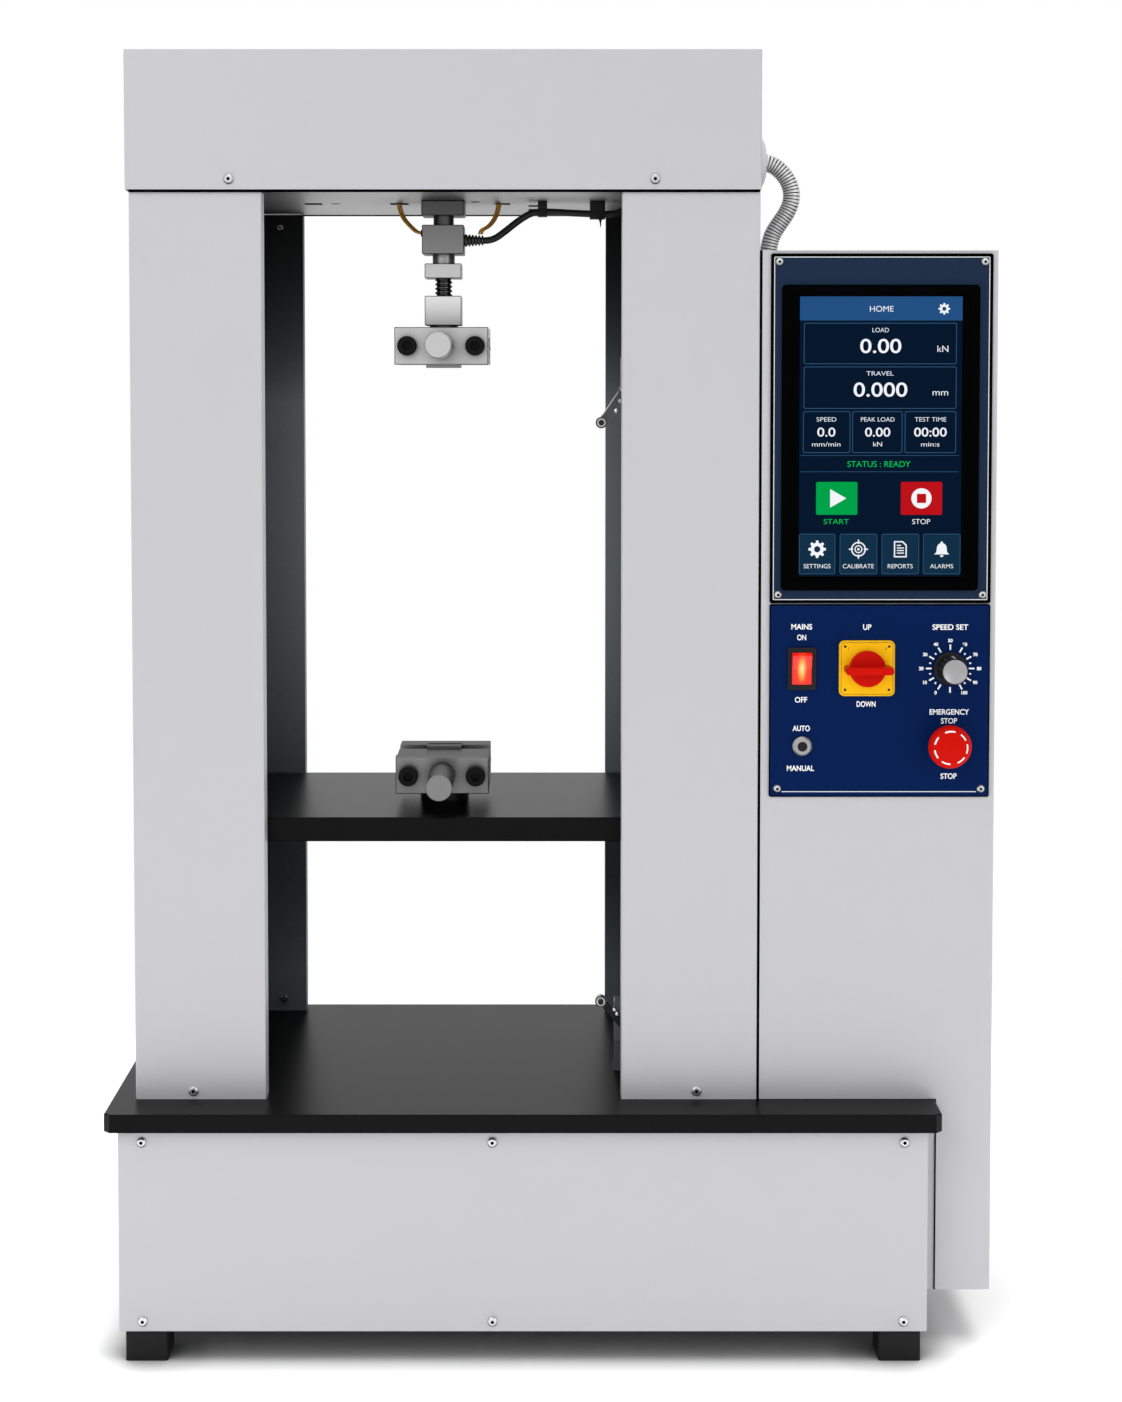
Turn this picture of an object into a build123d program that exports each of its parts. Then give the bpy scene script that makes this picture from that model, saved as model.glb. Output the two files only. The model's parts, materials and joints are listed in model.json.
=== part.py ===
from build123d import *
import math
import os

# Bench universal testing machine, in millimetres, +Z up, front towards -Y.
# The origin is the middle of the footprint, on the bench.

# Layout of the front, from left to right
left_margin = 22.5
left_column_width = 123.0
opening_width = 334.5
right_column_width = 128.0
cabinet_gap = 1.7
cabinet_width = 219.0
cabinet_overhang = 53.1
load_axis_offset = -4.0
screw_half_span = 228.0

# Layout of the side, from front to back
plate_depth = 369.0
column_front_setback = 46.0
rear_panel_setback = 298.0
rear_flange_depth = 16.0
load_axis_setback = 130.0
cabinet_depth = 240.0

# Heights
foot_height = 30.0
body_height = 191.5
plate_thickness = 17.0
column_height = 852.0
top_plate_thickness = 16.0
head_height = 130.0
cabinet_lower_height = 165.5
cabinet_upper_height = 797.5
crosshead_clearance = 240.0
crosshead_thickness = 23.0
travel_up = 355.0
travel_down = 158.0

# Base
foot_size = 39.0
foot_inset = 5.0
foot_rounding = 2.0
body_side_inset = 11.5
body_front_inset = 12.0
plate_corner_chamfer = 6.0
plate_edge_break = 1.2
sheet = 1.5
sheet_rounding = 2.0
base_lip = 14.0

# Columns and head
column_return = 20.0
column_top_gap = 1.0
rear_panel_reach = 7.0
head_overhang_left = 3.0
head_overhang_right = 0.6
head_overhang_front = 4.0
head_bottom_gap = 1.5
wire_slot_length = 17.0
wire_slot_width = 4.0
wire_slot_setback = 25.0
wire_slot_offsets = [-133.0, -46.5, 55.0]

# Drive train
rod_radius = 15.0
rod_spigot_radius = 10.0
rod_half_pitch = 80.0
rod_nut_radius = 15.0
rod_nut_height = 12.0
fit_gap = 0.06
seat_gap = 0.1
screw_radius = 12.5
journal_radius = 8.5
bearing_body_radius = 26.0
bearing_flange_radius = 38.0
bearing_flange_height = 10.0
bearing_stand = 12.0
upper_bearing_radius = 20.0
pulley_teeth = 24
motor_pulley_teeth = 12
tooth_pitch = 10.0
tooth_height = 2.5
pulley_width = 18.0
pulley_flange_height = 1.5
pulley_flange_reach = 2.5
pulley_drop = 24.0
belt_thickness = 2.5
belt_side_gap = 1.0
belt_gap = 0.3
motor_distance = 150.0
motor_frame = 80.0
motor_length = 96.0
motor_corner = 8.0
motor_shaft_radius = 7.0
motor_plate_thickness = 8.0
motor_plate_margin = 20.0
standoff_radius = 7.0
nut_body_radius = 20.0
nut_length = 52.0
bush_body_radius = 22.5
bush_length = 60.0
carrier_flange_radius = 31.0
carrier_flange_height = 7.0
flange_bolt_radius = 2.8
flange_bolt_count = 6

# Crosshead
crosshead_setback = 24.0
crosshead_depth = 244.0
crosshead_end_margin = 45.0
crosshead_edge_break = 1.0
grip_base_radius = 24.0
grip_base_height = 14.0
grip_stud_radius = 10.0
grip_stud_nut_radius = 16.0
grip_stud_nut_height = 14.0

# Load train, from the top plate down
hanger_width = 42.0
hanger_height = 14.5
upper_stud_radius = 10.0
upper_stud_height = 9.0
cell_width = 41.0
cell_height = 28.5
lower_stud_radius = 11.0
lower_stud_height = 9.0
coupling_width = 36.0
coupling_height = 14.5
threaded_rod_radius = 8.6
threaded_rod_height = 17.0
threaded_rod_grip = 10.0
adapter_height = 29.0
adapter_neck_radius = 14.0
adapter_neck_height = 2.5
block_edge_break = 0.8

# Grips
grip_width = 90.0
grip_height = 36.0
grip_floor = 10.0
front_plate_depth = 12.0
jaw_block_depth = 36.0
jaw_insert_depth = 8.0
jaw_insert_width = 34.0
jaw_insert_proud = 3.0
jaw_gap = 8.0
jaw_travel = 7.7
jaw_side_gap = 0.3
rear_wall_depth = 25.0
clamp_screw_radius = 12.5
clamp_screw_reach = 70.0
clamp_journal_radius = 7.0
clamp_journal_length = 14.0
tie_bolt_offset = 32.5
tie_bolt_radius = 6.0
tie_head_radius = 9.3
tie_head_height = 9.0
tie_socket_radius = 5.0
tie_socket_depth = 6.0

# Limit switches
lever_length = 38.0
upper_lever_lean = 34.3
lower_lever_lean = 40.7
lever_width = 7.0
lever_thickness = 2.0
roller_radius = 5.5
roller_width = 7.0
roller_pin_radius = 1.8
switch_width = 34.0
switch_depth = 18.0
switch_height = 40.0
switch_setback = 70.0
switch_bracket_thickness = 3.0
switch_pivot_radius = 4.0
roller_reach = 17.7
upper_roller_margin = 13.0
lower_roller_margin = 0.5
upper_switch_inset = 8.5
clamp_collar_radius = 23.0
clamp_collar_height = 16.0

# Cabinet and its panels
panel_thickness = 2.0
panel_side_margin = 8.0
panel_width = 206.0
display_height = 325.0
display_top_margin = 3.0
panel_step = 1.0
control_height = 181.0
screen_width = 183.5
screen_height = 284.0
screen_drop = 29.0
screen_offset = -1.0
screen_proud = 3.0
screen_body_depth = 30.0
screen_body_inset = 8.0
screen_glass_inset = 9.0
screen_glass_depth = 0.8
cabinet_lip = 16.0
rear_cover_margin = 14.0
vent_count = 6
vent_length = 90.0
vent_width = 4.0
vent_pitch = 12.0

# Controls, placed from the left and top edges of the control panel
mains_place = (30.3, 60.3)
mains_bezel = (26.3, 39.6)
mains_rocker = (18.6, 30.3)
mains_bezel_proud = 2.2
mains_body_depth = 28.0
rocker_tilt = 12.0
rocker_gap = 0.35
cam_place = (90.9, 59.8)
cam_plate_size = 52.0
cam_plate_thickness = 3.0
cam_plate_rounding = 5.0
cam_body_radius = 20.0
cam_body_depth = 48.0
cam_knob_radius = 16.8
cam_knob_height = 8.0
cam_bar_length = 44.0
cam_bar_width = 7.2
cam_bar_height = 14.0
cam_shaft_radius = 4.0
speed_place = (168.9, 60.2)
speed_skirt_radius = 15.4
speed_skirt_height = 4.0
speed_grip_radius = 12.6
speed_grip_height = 20.0
speed_cap_radius = 11.6
speed_shaft_radius = 3.0
speed_body_radius = 12.0
speed_body_depth = 14.0
speed_flutes = 16
speed_flute_radius = 1.3
estop_place = (165.7, 130.6)
estop_collar_radius = 15.0
estop_collar_height = 8.0
estop_head_radius = 20.2
estop_head_height = 15.0
estop_crown_drop = 1.1
estop_neck_radius = 11.0
estop_travel = 4.5
estop_stem_radius = 6.0
estop_body_depth = 40.0
mode_place = (30.9, 133.0)
mode_ring_radius = 9.1
mode_ring_height = 4.5
mode_button_radius = 4.5
mode_button_proud = 1.0
mode_travel = 3.0
mode_body_depth = 22.0
panel_gap = 0.3

# Electrical gear
drive_size = (110.0, 70.0, 190.0)
drive_lift = 120.0
inlet_size = (50.0, 30.0, 28.0)
inlet_lift = 60.0

# Conduit, cables and their fittings
conduit_radius = 7.9
conduit_setback = 118.0
gland_flange_radius = 22.0
gland_flange_height = 5.0
gland_dome_radius = 18.0
gland_reach = 20.0
gland_height = 33.0
bush_flange_radius = 13.0
bush_flange_height = 5.0
conduit_cabinet_inset = 17.3
cable_radius = 2.9
cable_hole_radius = 6.0
cable_drop = 9.75
cable_clip_reaches = [57.0, 111.0]
wire_radius = 1.1
arc_share = 0.45
cell_gland_radius = 6.0
cell_gland_length = 19.7
clip_gap = 0.3
clip_width = 9.0
clip_wall = 2.0
clip_depth = 12.0

# Button-head screws on the covers
button_radius = 4.9
button_height = 2.8
button_rim = 0.8
button_shoulder = 0.7
button_slope_height = 1.9
button_bevel = 1.7
button_socket_radius = 1.8
base_screw_side_inset = 22.0
base_screw_middle_offset = -28.5
base_screw_top_drop = 12.5
base_screw_bottom_rise = 9.8
head_screw_insets = [96.3, 98.5]
head_screw_rise = 9.5
column_screw_shift = 7.0
column_screw_rise = 8.0
panel_screw_inset = 7.8
panel_screw_radius = 3.9
rear_screw_inset = 24.0
rear_screw_ends = 14.0

# Levels worked out from the sizes above
body_bottom = foot_height
plate_bottom = foot_height + body_height
plate_top = plate_bottom + plate_thickness
top_plate_bottom = plate_top + column_height
top_plate_top = top_plate_bottom + top_plate_thickness
head_top = top_plate_bottom + head_height
crosshead_bottom = plate_top + crosshead_clearance
crosshead_top = crosshead_bottom + crosshead_thickness
cabinet_bottom = plate_bottom - cabinet_lower_height
cabinet_top = plate_top + cabinet_upper_height

# Places along X
overall_width = (left_margin + left_column_width + opening_width + right_column_width
                 + cabinet_gap + cabinet_width)
plate_left = -overall_width / 2
plate_right = plate_left + overall_width - cabinet_overhang
left_outer = plate_left + left_margin
left_inner = left_outer + left_column_width
right_inner = left_inner + opening_width
right_outer = right_inner + right_column_width
cabinet_left = right_outer + cabinet_gap
cabinet_right = cabinet_left + cabinet_width
body_left = plate_left + body_side_inset
body_right = plate_right - body_side_inset
head_left = left_outer - head_overhang_left
head_right = right_outer + head_overhang_right
axis_x = (left_inner + right_inner) / 2 + load_axis_offset
screw_xs = [axis_x - screw_half_span, axis_x + screw_half_span]

# Places along Y
plate_front = -plate_depth / 2
plate_rear = plate_depth / 2
column_front = plate_front + column_front_setback
rear_panel_front = column_front + rear_panel_setback
rear_end = rear_panel_front + rear_flange_depth
body_front = plate_front + body_front_inset
body_rear = plate_rear - body_front_inset
head_front = column_front - head_overhang_front
axis_y = column_front + load_axis_setback
rod_ys = [axis_y - rod_half_pitch, axis_y + rod_half_pitch]
cabinet_front_y = column_front
cabinet_rear_y = column_front + cabinet_depth
panel_face = cabinet_front_y - panel_thickness

# Places on the cabinet
panel_left = cabinet_left + panel_side_margin
display_top = cabinet_top - display_top_margin
display_bottom = display_top - display_height
control_top = display_bottom - panel_step
control_bottom = control_top - control_height
screen_centre_x = panel_left + panel_width / 2 + screen_offset
screen_centre_z = display_top - screen_drop - screen_height / 2

# Load train levels
hanger_bottom = top_plate_bottom - hanger_height
cell_top = hanger_bottom - upper_stud_height
cell_bottom = cell_top - cell_height
coupling_top = cell_bottom - lower_stud_height
coupling_bottom = coupling_top - coupling_height
adapter_top = coupling_bottom - threaded_rod_height
adapter_bottom = adapter_top - adapter_height
upper_grip_face = adapter_bottom - adapter_neck_height
lower_grip_face = crosshead_top + grip_base_height
cell_middle = (cell_top + cell_bottom) / 2

# Drive train levels
link_pulley_top = plate_bottom - pulley_drop
pulley_height = pulley_width + 2 * pulley_flange_height
motor_pulley_top = link_pulley_top - pulley_height
pulley_stack_bottom = motor_pulley_top - pulley_height
motor_plate_top = pulley_stack_bottom - pulley_flange_height
motor_x = screw_xs[1] - motor_distance


def block(x0, x1, y0, y1, z0, z1):
    """A box between two corners."""
    return Pos((x0 + x1) / 2, (y0 + y1) / 2, (z0 + z1) / 2) * Box(x1 - x0, y1 - y0, z1 - z0)


def post(x, y, z0, z1, radius):
    """A round bar along Z."""
    return Pos(x, y, (z0 + z1) / 2) * Cylinder(radius, z1 - z0)


def bar_y(x, z, y0, y1, radius):
    """A round bar along Y."""
    return Pos(x, (y0 + y1) / 2, z) * Rot(90, 0, 0) * Cylinder(radius, y1 - y0)


def bar_x(y, z, x0, x1, radius):
    """A round bar along X."""
    return Pos((x0 + x1) / 2, y, z) * Rot(0, 90, 0) * Cylinder(radius, x1 - x0)


def upright(outline, z0, z1):
    """A closed plan outline drawn up between two levels."""
    face = make_face(Polyline(*outline, close=True))
    return Pos(0, 0, z0) * extrude(face, amount=z1 - z0)


def hexagon_post(x, y, z0, z1, radius):
    """A hexagon nut's outline drawn up between two levels."""
    return Pos(x, y, z0) * extrude(RegularPolygon(radius, 6), amount=z1 - z0)


def together(shapes):
    """Separate solids kept side by side in one group."""
    solids = []
    for shape in shapes:
        solids.extend(shape.solids())
    return Compound(children=solids)


def soften(shape, size):
    """Break every edge of a plain block."""
    return chamfer(shape.edges(), size)


# Base


def make_base_plate():
    """The thick bed plate, with its corners cut and its top edge broken."""
    plate = block(plate_left, plate_right, plate_front, plate_rear, plate_bottom, plate_top)
    corners = plate.edges().filter_by(Axis.Z)
    plate = chamfer(corners, plate_corner_chamfer)
    rim = plate.faces().sort_by(Axis.Z)[-1].edges()
    plate = chamfer(rim, plate_edge_break)
    for x in screw_xs:
        plate -= post(x, axis_y, plate_bottom, plate_top, bearing_body_radius + seat_gap)
        for y in rod_ys:
            plate -= post(x, y, plate_bottom, plate_top, rod_spigot_radius + seat_gap)
    return plate


def make_base_shell():
    """The folded body below the bed: floor, two sides and back, open in front behind its lips."""
    front = body_front + sheet
    outer = block(body_left, body_right, front, body_rear, body_bottom, plate_bottom)
    uprights = outer.edges().filter_by(Axis.Z)
    outer = fillet(uprights.group_by(Axis.Y)[-1], sheet_rounding)
    inner = block(body_left + sheet, body_right - sheet, front + sheet, body_rear - sheet,
                  body_bottom + sheet, plate_bottom)
    mouth = block(body_left + base_lip, body_right - base_lip, front, front + sheet,
                  body_bottom + base_lip, plate_bottom)
    return outer - inner - mouth


def make_base_front_cover():
    """The flat front cover of the body."""
    cover = block(body_left, body_right, body_front, body_front + sheet, body_bottom, plate_bottom)
    return chamfer(cover.faces().sort_by(Axis.Y)[0].edges(), sheet / 3)


def foot_places():
    """The outer corners of the body, as the middles of its feet."""
    reach = foot_inset + foot_size / 2
    return [(x, y) for x in (body_left + reach, body_right - reach)
            for y in (body_front + reach, body_rear - reach)]


def make_feet():
    """Four square feet under the body."""
    feet = []
    for x, y in foot_places():
        half = foot_size / 2
        foot = block(x - half, x + half, y - half, y + half, 0, foot_height)
        feet.append(fillet(foot.edges().filter_by(Axis.Z), foot_rounding))
    return together(feet)


# Columns and head


def make_column_cover(outer, inner):
    """A folded cover: front, outer side and a short return at the opening."""
    inward = 1 if inner > outer else -1
    wall = sheet * inward
    outline = [
        (outer, column_front),
        (inner, column_front),
        (inner, column_front + column_return),
        (inner - wall, column_front + column_return),
        (inner - wall, column_front + sheet),
        (outer + wall, column_front + sheet),
        (outer + wall, rear_end),
        (outer, rear_end),
    ]
    cover = upright(outline, plate_top, top_plate_bottom - column_top_gap)
    folds = cover.edges().filter_by(Axis.Z).group_by(Axis.Y)[0]
    return fillet(folds, sheet_rounding * 0.7)


def make_rear_panel(outer, inner):
    """A dark channel that closes the back of a column, its flanges turned to the rear."""
    inward = 1 if inner > outer else -1
    wall = sheet * inward
    start = outer + wall
    end = inner + rear_panel_reach * inward
    outline = [
        (start, rear_panel_front),
        (end, rear_panel_front),
        (end, rear_end),
        (end - wall, rear_end),
        (end - wall, rear_panel_front + sheet),
        (start + wall, rear_panel_front + sheet),
        (start + wall, rear_end),
        (start, rear_end),
    ]
    return upright(outline, plate_top, top_plate_bottom - column_top_gap)


def make_top_plate():
    """The thick plate that ties the columns at the top and carries the load cell."""
    plate = block(head_left + sheet, head_right - sheet, head_front + sheet, rear_end - sheet,
                  top_plate_bottom, top_plate_top)
    for x in screw_xs:
        plate -= post(x, axis_y, top_plate_bottom, top_plate_top, upper_bearing_radius + seat_gap)
        for y in rod_ys:
            plate -= post(x, y, top_plate_bottom, top_plate_top, rod_spigot_radius + seat_gap)
    for offset in wire_slot_offsets:
        slot = extrude(SlotOverall(wire_slot_length, wire_slot_width), amount=top_plate_thickness)
        plate -= Pos(axis_x + offset, axis_y + wire_slot_setback, top_plate_bottom) * slot
    entry_x, entry_y, _ = cable_points()[-1]
    return plate - post(entry_x, entry_y, top_plate_bottom, top_plate_top, cable_hole_radius)


def make_head_cover():
    """The folded cover over the top plate, open below."""
    bottom = top_plate_bottom + head_bottom_gap
    outer = block(head_left, head_right, head_front, rear_end, bottom, head_top)
    outer = fillet(outer.edges().filter_by(Axis.Z), sheet_rounding)
    inner = block(head_left + sheet, head_right - sheet, head_front + sheet, rear_end - sheet,
                  bottom, head_top - sheet)
    cover = outer - inner
    gland_y = column_front + conduit_setback
    gland_z = top_plate_bottom + gland_height
    return cover - bar_x(gland_y, gland_z, head_right - 2 * sheet, head_right + sheet, conduit_radius)


# Drive train


def make_guide_rods():
    """Four ground rods between the plates, with shouldered ends and their nuts."""
    pieces = []
    for x in screw_xs:
        for y in rod_ys:
            rod = post(x, y, plate_top, top_plate_bottom, rod_radius)
            rod += post(x, y, plate_bottom - rod_nut_height, top_plate_top + rod_nut_height,
                        rod_spigot_radius)
            pieces.append(rod)
            for level in (plate_bottom - rod_nut_height, top_plate_top):
                nut = hexagon_post(x, y, level, level + rod_nut_height, rod_nut_radius)
                nut -= post(x, y, level, level + rod_nut_height, rod_spigot_radius)
                pieces.append(nut)
    return together(pieces)


def flange_bolt_holes(x, y, z0, z1, flange_radius, body_radius):
    """A ring of bolt holes midway between a flange's rim and its body."""
    ring = (flange_radius + body_radius) / 2
    holes = []
    for turn in range(flange_bolt_count):
        angle = math.radians(360 * turn / flange_bolt_count)
        holes.append(post(x + ring * math.cos(angle), y + ring * math.sin(angle), z0, z1,
                          flange_bolt_radius))
    return holes


def make_screw_bearings():
    """A flanged housing at each end of both lead screws."""
    housings = []
    for x in screw_xs:
        flange_bottom = plate_bottom - bearing_flange_height
        lower = post(x, axis_y, flange_bottom, plate_bottom, bearing_flange_radius)
        lower += post(x, axis_y, flange_bottom, plate_top + bearing_stand, bearing_body_radius)
        lower -= post(x, axis_y, flange_bottom, plate_top + bearing_stand, journal_radius + fit_gap)
        for hole in flange_bolt_holes(x, axis_y, flange_bottom, plate_bottom,
                                      bearing_flange_radius, bearing_body_radius):
            lower -= hole
        flange_top = top_plate_top + bearing_flange_height
        upper = post(x, axis_y, top_plate_top, flange_top, bearing_flange_radius)
        upper += post(x, axis_y, top_plate_bottom, flange_top, upper_bearing_radius)
        upper -= post(x, axis_y, top_plate_bottom, flange_top, journal_radius + fit_gap)
        for hole in flange_bolt_holes(x, axis_y, top_plate_top, flange_top,
                                      bearing_flange_radius, bearing_body_radius):
            upper -= hole
        housings += [lower, upper]
    return together(housings)


def tip_radius(teeth):
    """The outer radius of a toothed pulley."""
    return teeth * tooth_pitch / (2 * math.pi)


def toothed_pulley(x, y, top, teeth, bore_radius):
    """A toothed belt pulley with a flange above and below, hanging from the given level."""
    outer = tip_radius(teeth)
    root = outer - tooth_height
    points = []
    for tooth in range(teeth):
        for share, radius in ((0.0, root), (0.14, outer), (0.5, outer), (0.64, root)):
            angle = 2 * math.pi * (tooth + share) / teeth
            points.append((x + radius * math.cos(angle), y + radius * math.sin(angle)))
    bottom = top - pulley_height
    pulley = upright(points, bottom + pulley_flange_height, top - pulley_flange_height)
    for level in (bottom, top - pulley_flange_height):
        pulley += post(x, y, level, level + pulley_flange_height, outer + pulley_flange_reach)
    return pulley - post(x, y, bottom, top, bore_radius)


def make_lead_screw(x, tops):
    """A lead screw with turned journals, and the pulleys on its lower end."""
    shaft_bottom = min(tops) - pulley_height
    screw = post(x, axis_y, plate_top + bearing_stand + fit_gap, top_plate_bottom - fit_gap, screw_radius)
    screw += post(x, axis_y, shaft_bottom, top_plate_top + bearing_flange_height, journal_radius)
    pieces = [screw]
    for top in tops:
        pieces.append(toothed_pulley(x, axis_y, top, pulley_teeth, journal_radius))
    return together(pieces)


def make_motor_pulley():
    """The motor's shaft with its small pulley."""
    shaft = post(motor_x, axis_y, motor_plate_top - motor_plate_thickness - motor_length / 2,
                 motor_pulley_top, motor_shaft_radius)
    pulley = toothed_pulley(motor_x, axis_y, motor_pulley_top, motor_pulley_teeth, motor_shaft_radius)
    return together([shaft, pulley])


def belt_loop(x0, y0, r0, x1, y1, r1, top):
    """A flat band round two pulleys, along their outer tangents."""
    depth = pulley_width - 2 * belt_side_gap
    bottom = top - pulley_flange_height - belt_side_gap - depth
    inner = [Pos(x0, y0) * Circle(r0 + belt_gap), Pos(x1, y1) * Circle(r1 + belt_gap)]
    reach = belt_gap + belt_thickness
    outer = [Pos(x0, y0) * Circle(r0 + reach), Pos(x1, y1) * Circle(r1 + reach)]
    band = make_hull([edge for circle in outer for edge in circle.edges()])
    band -= make_hull([edge for circle in inner for edge in circle.edges()])
    return Pos(0, 0, bottom) * extrude(band, amount=depth)


def make_timing_belts():
    """The belt that links both screws, and the belt from the motor to the right one."""
    large, small = tip_radius(pulley_teeth), tip_radius(motor_pulley_teeth)
    link = belt_loop(screw_xs[0], axis_y, large, screw_xs[1], axis_y, large, link_pulley_top)
    drive = belt_loop(motor_x, axis_y, small, screw_xs[1], axis_y, large, motor_pulley_top)
    return together([link, drive])


def make_drive_motor():
    """The servo motor below its mounting plate, which hangs from the bed on four standoffs."""
    half = motor_frame / 2
    plate_low = motor_plate_top - motor_plate_thickness
    body = block(motor_x - half, motor_x + half, axis_y - half, axis_y + half,
                 plate_low - motor_length, plate_low)
    body = chamfer(body.edges().filter_by(Axis.Z), motor_corner)
    bore = motor_shaft_radius + seat_gap
    body -= post(motor_x, axis_y, plate_low - motor_length / 2, plate_low, bore)
    reach = half + motor_plate_margin
    plate = block(motor_x - reach, motor_x + reach, axis_y - reach, axis_y + reach,
                  plate_low, motor_plate_top)
    plate -= post(motor_x, axis_y, plate_low, motor_plate_top, bore)
    pieces = [body, plate]
    spread = reach - standoff_radius
    for x in (motor_x - spread, motor_x + spread):
        for y in (axis_y - spread, axis_y + spread):
            pieces.append(post(x, y, motor_plate_top, plate_bottom, standoff_radius))
    return together(pieces)


# Crosshead


def make_crosshead_plate():
    """The moving plate, bored for the screw nuts, the guide bushes and the grip's stud."""
    left = screw_xs[0] - crosshead_end_margin
    right = screw_xs[1] + crosshead_end_margin
    front = column_front + crosshead_setback
    plate = block(left, right, front, front + crosshead_depth, crosshead_bottom, crosshead_top)
    plate = soften(plate, crosshead_edge_break)
    for x in screw_xs:
        plate -= post(x, axis_y, crosshead_bottom, crosshead_top, nut_body_radius + seat_gap)
        for y in rod_ys:
            plate -= post(x, y, crosshead_bottom, crosshead_top, bush_body_radius + seat_gap)
    return plate - post(axis_x, axis_y, crosshead_bottom, crosshead_top, grip_stud_radius + seat_gap)


def flanged_carrier(x, y, body_radius, length, bore_radius):
    """A flanged sleeve that seats on the crosshead and hangs through it."""
    flange_top = crosshead_top + carrier_flange_height
    sleeve = post(x, y, crosshead_top, flange_top, carrier_flange_radius)
    sleeve += post(x, y, flange_top - length, flange_top, body_radius)
    sleeve -= post(x, y, flange_top - length, flange_top, bore_radius)
    for hole in flange_bolt_holes(x, y, crosshead_top, flange_top, carrier_flange_radius, body_radius):
        sleeve -= hole
    return sleeve


def make_screw_nuts():
    """The nut on each lead screw."""
    return together([flanged_carrier(x, axis_y, nut_body_radius, nut_length, screw_radius + fit_gap)
                     for x in screw_xs])


def make_guide_bushes():
    """The linear bush on each guide rod."""
    return together([flanged_carrier(x, y, bush_body_radius, bush_length, rod_radius + fit_gap)
                     for x in screw_xs for y in rod_ys])


def make_lower_grip_base():
    """The round foot under the lower grip, its stud through the crosshead and the nut below."""
    stud_bottom = crosshead_bottom - grip_stud_nut_height
    foot = post(axis_x, axis_y, crosshead_top, lower_grip_face, grip_base_radius)
    foot = chamfer(foot.faces().sort_by(Axis.Z)[-1].edges(), block_edge_break)
    foot += post(axis_x, axis_y, stud_bottom, crosshead_top, grip_stud_radius)
    nut = hexagon_post(axis_x, axis_y, stud_bottom, crosshead_bottom, grip_stud_nut_radius)
    nut -= post(axis_x, axis_y, stud_bottom, crosshead_bottom, grip_stud_radius)
    return together([foot, nut])


# Grips, drawn upright about the load axis with the mounting face at zero

jaw_clearance = jaw_travel - (jaw_gap - jaw_side_gap)
insert_back = jaw_gap / 2 + jaw_insert_depth
block_back = insert_back + jaw_block_depth
plate_back = block_back + jaw_side_gap
plate_face = plate_back + front_plate_depth
wall_back = insert_back + rear_wall_depth
clamp_level = grip_height / 2


def lower_place():
    """Where the lower grip stands."""
    return Pos(axis_x, axis_y, lower_grip_face)


def upper_place():
    """Where the upper grip hangs, turned upside down."""
    return Pos(axis_x, axis_y, upper_grip_face) * Rot(0, 180, 0)


def make_grip_body():
    """The grip's floor with its rear wall and fixed jaw face, and the bolted front plate."""
    half = grip_width / 2
    body = block(-half, half, -plate_back, wall_back, 0, grip_floor)
    body += block(-half, half, insert_back, wall_back, 0, grip_height)
    body = chamfer(body.edges().filter_by(Axis.Y), block_edge_break)
    body -= bar_y(0, clamp_level, -plate_back, -block_back + jaw_travel + jaw_side_gap,
                  clamp_screw_radius + seat_gap)
    face = block(-jaw_insert_width / 2, jaw_insert_width / 2, jaw_gap / 2, insert_back,
                 grip_floor, grip_height + jaw_insert_proud)
    plate = block(-half, half, -plate_face, -plate_back, 0, grip_height)
    plate = chamfer(plate.faces().sort_by(Axis.Y)[0].edges(), block_edge_break)
    plate -= bar_y(0, clamp_level, -plate_face, -plate_back, clamp_screw_radius + seat_gap)
    for x in (-tie_bolt_offset, tie_bolt_offset):
        plate -= bar_y(x, clamp_level, -plate_face, -plate_back, tie_bolt_radius + seat_gap)
        body -= bar_y(x, clamp_level, insert_back, wall_back, tie_bolt_radius + seat_gap)
    return together([body, plate, face])


def make_jaw():
    """The sliding jaw block with its raised face, bored for the tie bolts and the clamp screw."""
    half = grip_width / 2 - block_edge_break
    low = grip_floor + jaw_side_gap
    jaw = block(-half, half, -block_back, -insert_back, low, grip_height)
    jaw = soften(jaw, block_edge_break / 2)
    jaw += block(-jaw_insert_width / 2, jaw_insert_width / 2, -insert_back, -jaw_gap / 2,
                 low, grip_height + jaw_insert_proud)
    for x in (-tie_bolt_offset, tie_bolt_offset):
        jaw -= bar_y(x, clamp_level, -block_back, -insert_back, tie_bolt_radius + jaw_side_gap)
    seat_end = -block_back + clamp_journal_length + jaw_side_gap
    return jaw - bar_y(0, clamp_level, -block_back, seat_end, clamp_journal_radius + seat_gap)


def make_clamp_screw():
    """The clamp screw: a thick spindle through the front plate, with a journal in the jaw."""
    front = -plate_face - clamp_screw_reach
    spindle = bar_y(0, clamp_level, front, -block_back - seat_gap, clamp_screw_radius)
    spindle = chamfer(spindle.faces().sort_by(Axis.Y)[0].edges(), block_edge_break)
    return spindle + bar_y(0, clamp_level, -block_back - seat_gap, -block_back + clamp_journal_length,
                           clamp_journal_radius)


def make_tie_bolts():
    """The two socket-head bolts that tie the front plate to the rear wall."""
    bolts = []
    for x in (-tie_bolt_offset, tie_bolt_offset):
        head = bar_y(x, clamp_level, -plate_face - tie_head_height, -plate_face, tie_head_radius)
        head = chamfer(head.faces().sort_by(Axis.Y)[0].edges(), block_edge_break)
        head += bar_y(x, clamp_level, -plate_face, wall_back, tie_bolt_radius)
        socket = extrude(RegularPolygon(tie_socket_radius, 6), amount=tie_socket_depth)
        head -= Pos(x, -plate_face - tie_head_height, clamp_level) * Rot(-90, 0, 0) * socket
        bolts.append(head)
    return together(bolts)


# Load train


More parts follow.
